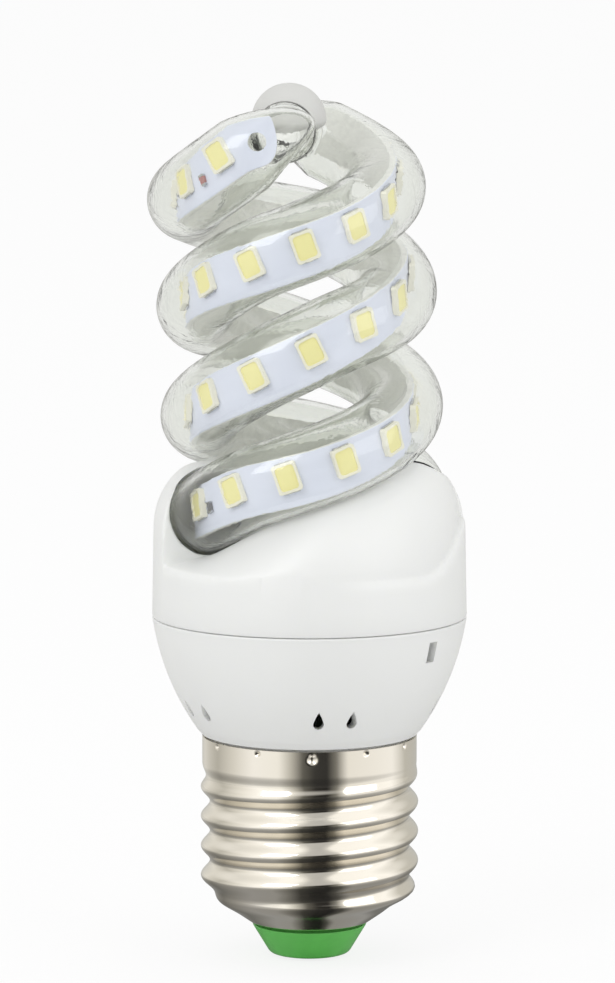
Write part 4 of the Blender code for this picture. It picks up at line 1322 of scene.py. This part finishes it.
class BULB_OT_foot(bpy.types.Operator):
    """Make the green insulator and the centre contact"""
    bl_idname = "bulb.foot"
    bl_label = "Insulator and Contact"

    def execute(self, context):
        cap = context.scene.bulb_cap
        neck = cap.foot_diameter / 2 - cap.wall - FIT
        collar = cap.foot_diameter / 2 - 0.2 * MM
        tip, tip_z = cap.tip_diameter / 2, 0.35 * MM
        head, head_z = cap.contact_diameter / 2, 0.6 * MM
        stem, stem_top = 0.9 * MM, 8.6 * MM
        flange, flange_z = neck + 1.4 * MM, cap.foot + 1.8 * MM
        flange_top = flange_z + 1.6 * MM
        profile = [(stem + FIT, head_z + FIT), (head + FIT, head_z + FIT), (head + FIT, tip_z), (tip, tip_z),
                   (collar, cap.foot - FIT), (neck, cap.foot - FIT), (neck, flange_z), (flange, flange_z),
                   (flange, flange_top), (stem + FIT, flange_top)]
        insulator = turned_ring("insulator", rounded(profile, 0.5 * MM, 4), INSULATOR_POINTS)
        shade(insulator, [green_moulding()], sharp=60)
        hand_over(insulator, "insulator", "cap_insulator")
        dome = [(head * 0.86, 0.0), (head * 0.95, 0.05 * MM), (head, 0.2 * MM), (head, head_z),
                (stem, head_z), (stem, stem_top)]
        contact = turned("contact", dome, CONTACT_POINTS)
        shade(contact, [shared("nickel_plated_brass_rolled", plated_nickel)], sharp=35)
        hand_over(contact, "nickel", "centre_contact")
        return {"FINISHED"}


# Driver and stage

class BULB_OT_driver(bpy.types.Operator):
    """Give the parts of the driver inside the housing their finishes"""
    bl_idname = "bulb.driver"
    bl_label = "Driver"

    def execute(self, context):
        black = grained("epoxy_black_moulded", "#1d1d1f", 0.5, 0.12)
        sleeve = grained("polyester_sleeve_shrunk", "#22232b", 0.35, 0.5)
        white = grained("pvc_white_extruded", "#e2e1dc", 0.4, 0.3)
        finishes = {
            "driver_board": grained("glass_epoxy_laminate", "#2a6b3a", 0.45, 0.4),
            "electrolytic_capacitor": sleeve, "fuse_resistor": sleeve,
            "inductor": grained("ferrite_sintered", "#33302f", 0.65, 0.2, 0.03),
            "bridge_rectifier": black, "driver_chip": black,
            "live_wire": grained("pvc_red_extruded", "#9c1c18", 0.4, 0.3),
            "neutral_wire": grained("pvc_black_extruded", "#1c1c1c", 0.4, 0.3),
            "strip_lead_a": white, "strip_lead_b": white}
        for node, finish in finishes.items():
            for slot in frame["nodes"][node].material_slots:
                slot.material = finish
        return {"FINISHED"}


WALL_STOPS = ((-180, "#b4b4b0"), (-145, "#d8d7d3"), (-112, "#b6b5b0"), (-85, "#dddcd8"), (-60, "#fcfcfc"),
              (-32, "#f8f8f6"), (-20, "#c4c3be"), (-7, "#5c5b56"), (5, "#2c2b29"), (18, "#201f1e"),
              (28, "#787772"), (40, "#f0efec"), (96, "#fcfcfc"), (120, "#c2c1bc"), (180, "#b4b4b0"))
WALL_LIGHT = 1.22           # how much brighter the walls are than the background
CEILING_SHARE = 0.45        # how much of the ceiling's white covers the walls overhead
CEILING_RISE = (0.3, 0.6)   # the upward part of a direction over which it sets in
FLOOR_HALF = 6.0
FLOOR_NEAR = (0.02, 0.1)    # distances from the bulb's foot over which the painted shade round it fades out of the floor that gloss sees
FLOOR_PAINTED_SHADE = 0.3             # painted shade: the share of the walls' light that the floor shows to gloss right under the bulb
FLOOR_PAINT = 0.8
FLOOR_GLOW = 0.867
FLOOR_SHADE = 0.14          # the part of the visible floor that takes shadows
FLOOR_SHADE_IN_GLOSS = 0.02
LIGHTS = (("key_light", 3.6, 0.7, (-0.7, -0.8, 0.9)), ("fill_light", 1.7, 0.8, (0.9, -0.6, 0.5)))
LIGHTS_AIM = Vector((0, 0, 0.055))
CAMERA_SHIFT = (-0.002, 0.0048)
LIGHT_BOUNCES = 24
CLEAR_BOUNCES = 32


def studio_walls(tree, direction):
    """What gloss reflects: white walls to both sides, a dark gap round the camera and a white ceiling."""
    parts = add_node(tree, "ShaderNodeSeparateXYZ", {0: direction})
    front = calculate(tree, "MULTIPLY", parts.outputs["Y"], -1.0)
    azimuth = calculate(tree, "ARCTAN2", parts.outputs["X"], front)
    ramp = add_node(tree, "ShaderNodeValToRGB", {"Fac": remap(tree, azimuth, 0.0, 1.0, -math.pi, math.pi)})
    stops = ramp.color_ramp.elements
    for i, (angle, tone) in enumerate(WALL_STOPS):
        place = (angle + 180) / 360
        stop = stops[i] if i < 2 else stops.new(place)
        stop.position = place
        stop.color = (*(WALL_LIGHT * c for c in linear(tone)), 1.0)
    rise = add_node(tree, "ShaderNodeVectorMath", {0: direction}, operation="NORMALIZE")
    upwards = add_node(tree, "ShaderNodeSeparateXYZ", {0: rise.outputs["Vector"]}).outputs["Z"]
    ceiling = remap(tree, upwards, 0.0, CEILING_SHARE, *CEILING_RISE, interpolation_type="SMOOTHSTEP")
    return blend(tree, ceiling, ramp.outputs["Color"], (WALL_LIGHT, WALL_LIGHT, WALL_LIGHT))


def seen_colour(tree, background, walls):
    """What a ray sees: the background from the camera or through glass, the studio walls off gloss."""
    rays = add_node(tree, "ShaderNodeLightPath").outputs
    plain = calculate(tree, "MAXIMUM", rays["Is Camera Ray"], rays["Is Transmission Ray"])
    seen = calculate(tree, "MAXIMUM", plain, rays["Is Glossy Ray"])
    return plain, seen, blend(tree, plain, walls, background)


def room(stage):
    """A soft white room whose walls only gloss sees."""
    world = bpy.data.worlds.new("soft_white_room")
    world.use_nodes = True
    tree = world.node_tree
    tree.nodes.clear()
    around_us = add_node(tree, "ShaderNodeTexCoord").outputs["Generated"]
    _, seen, tone = seen_colour(tree, stage.background, studio_walls(tree, around_us))
    shown = add_node(tree, "ShaderNodeBackground", {"Color": tone, "Strength": 1.0})
    ambient = add_node(tree, "ShaderNodeBackground", {"Color": (1, 1, 1, 1), "Strength": stage.world_level})
    add_node(tree, "ShaderNodeOutputWorld", {"Surface": mix_shaders(tree, seen, ambient, shown)})
    return world


def painted_floor(stage):
    """White paint that looks like the background, but for the bulb's shadow; to gloss it glows with the
    walls' light and dark as a painted reflection of the room, with painted shade round the bulb's foot.
    """
    mat = bpy.data.materials.new("painted_white_floor")
    mat.use_nodes = True
    tree = mat.node_tree
    tree.nodes.clear()
    place = object_place(tree)
    walls = studio_walls(tree, place)
    reach = add_node(tree, "ShaderNodeVectorMath", {0: place}, operation="LENGTH").outputs["Value"]
    # Painted shade: the walls' light that gloss sees on the floor is darkened towards the bulb's foot
    painted_shade_round_foot = blend(tree, remap(tree, reach, FLOOR_PAINTED_SHADE, 1.0, *FLOOR_NEAR), (0, 0, 0), walls)
    plain, seen, tone = seen_colour(tree, stage.background, painted_shade_round_foot)
    paint = add_node(tree, "ShaderNodeBsdfDiffuse", {"Color": (FLOOR_PAINT, FLOOR_PAINT, FLOOR_PAINT, 1.0)})
    glow = add_node(tree, "ShaderNodeEmission", {"Color": tone, "Strength": FLOOR_GLOW})
    # Painted shade: the part of the floor that takes shadows is darker where gloss sees it
    shade_tone = blend(tree, plain, (FLOOR_SHADE_IN_GLOSS,) * 3, (FLOOR_SHADE,) * 3)
    shadowed = add_node(tree, "ShaderNodeBsdfDiffuse", {"Color": shade_tone})
    lit = add_node(tree, "ShaderNodeAddShader", {0: glow.outputs[0], 1: shadowed.outputs[0]})
    add_node(tree, "ShaderNodeOutputMaterial", {"Surface": mix_shaders(tree, seen, paint, lit)})
    return mat


class BULB_OT_stage(bpy.types.Operator):
    """Set up the floor, the soft light and the camera"""
    bl_idname = "bulb.stage"
    bl_label = "Stage"

    def execute(self, context):
        scene, stage = context.scene, context.scene.bulb_stage
        scene.view_settings.view_transform = "Standard"
        scene.cycles.max_bounces = scene.cycles.transmission_bounces = LIGHT_BOUNCES
        scene.cycles.transparent_max_bounces = CLEAR_BOUNCES
        scene.world = room(stage)

        mesh = bpy.data.meshes.new("floor")
        corners = [(x * FLOOR_HALF, y * FLOOR_HALF, 0) for x, y in ((-1, -1), (1, -1), (1, 1), (-1, 1))]
        mesh.from_pydata(corners, [], [(0, 1, 2, 3)])
        floor = add_object("floor", mesh)
        floor.data.materials.append(painted_floor(stage))

        for name, energy, size, place in LIGHTS:
            data = bpy.data.lights.new(name, "AREA")
            data.energy, data.size = energy, size
            lamp = add_object(name, data)
            lamp.location = place
            lamp.rotation_euler = (LIGHTS_AIM - lamp.location).to_track_quat("-Z", "Y").to_euler()

        data = bpy.data.cameras.new("photo_camera")
        data.lens = stage.lens
        data.shift_x, data.shift_y = CAMERA_SHIFT
        camera = add_object("photo_camera", data)
        camera.location = (0, -stage.distance, stage.camera_height)
        camera.rotation_euler = (math.pi / 2 - stage.pitch, 0, 0)
        scene.camera = camera
        return {"FINISHED"}


STEPS = (BULB_OT_stage, BULB_OT_glass, BULB_OT_strips, BULB_OT_chips, BULB_OT_hood, BULB_OT_cup,
         BULB_OT_shell, BULB_OT_foot, BULB_OT_driver)


class BULB_PT_pieces(bpy.types.Panel):
    """Lists the pieces of the bulb and their sizes"""
    bl_label = "Spiral LED Bulb"
    bl_space_type = "VIEW_3D"
    bl_region_type = "UI"
    bl_category = "Bulb"

    def draw(self, context):
        for step in STEPS:
            self.layout.operator(step.bl_idname)
        for label, group in GROUPS.items():
            column = self.layout.column()
            for key in group.__annotations__:
                column.prop(getattr(context.scene, label), key)


CLASSES = (*GROUPS.values(), *STEPS, BULB_PT_pieces)


def register():
    for cls in CLASSES:
        bpy.utils.register_class(cls)
    for label, group in GROUPS.items():
        setattr(bpy.types.Scene, label, PointerProperty(type=group))


def unregister():
    for label in GROUPS:
        delattr(bpy.types.Scene, label)
    for cls in reversed(CLASSES):
        bpy.utils.unregister_class(cls)


def main():
    register()
    for step in STEPS:
        area, action = step.bl_idname.split(".")
        getattr(getattr(bpy.ops, area), action)()


if __name__ == "__main__":
    main()
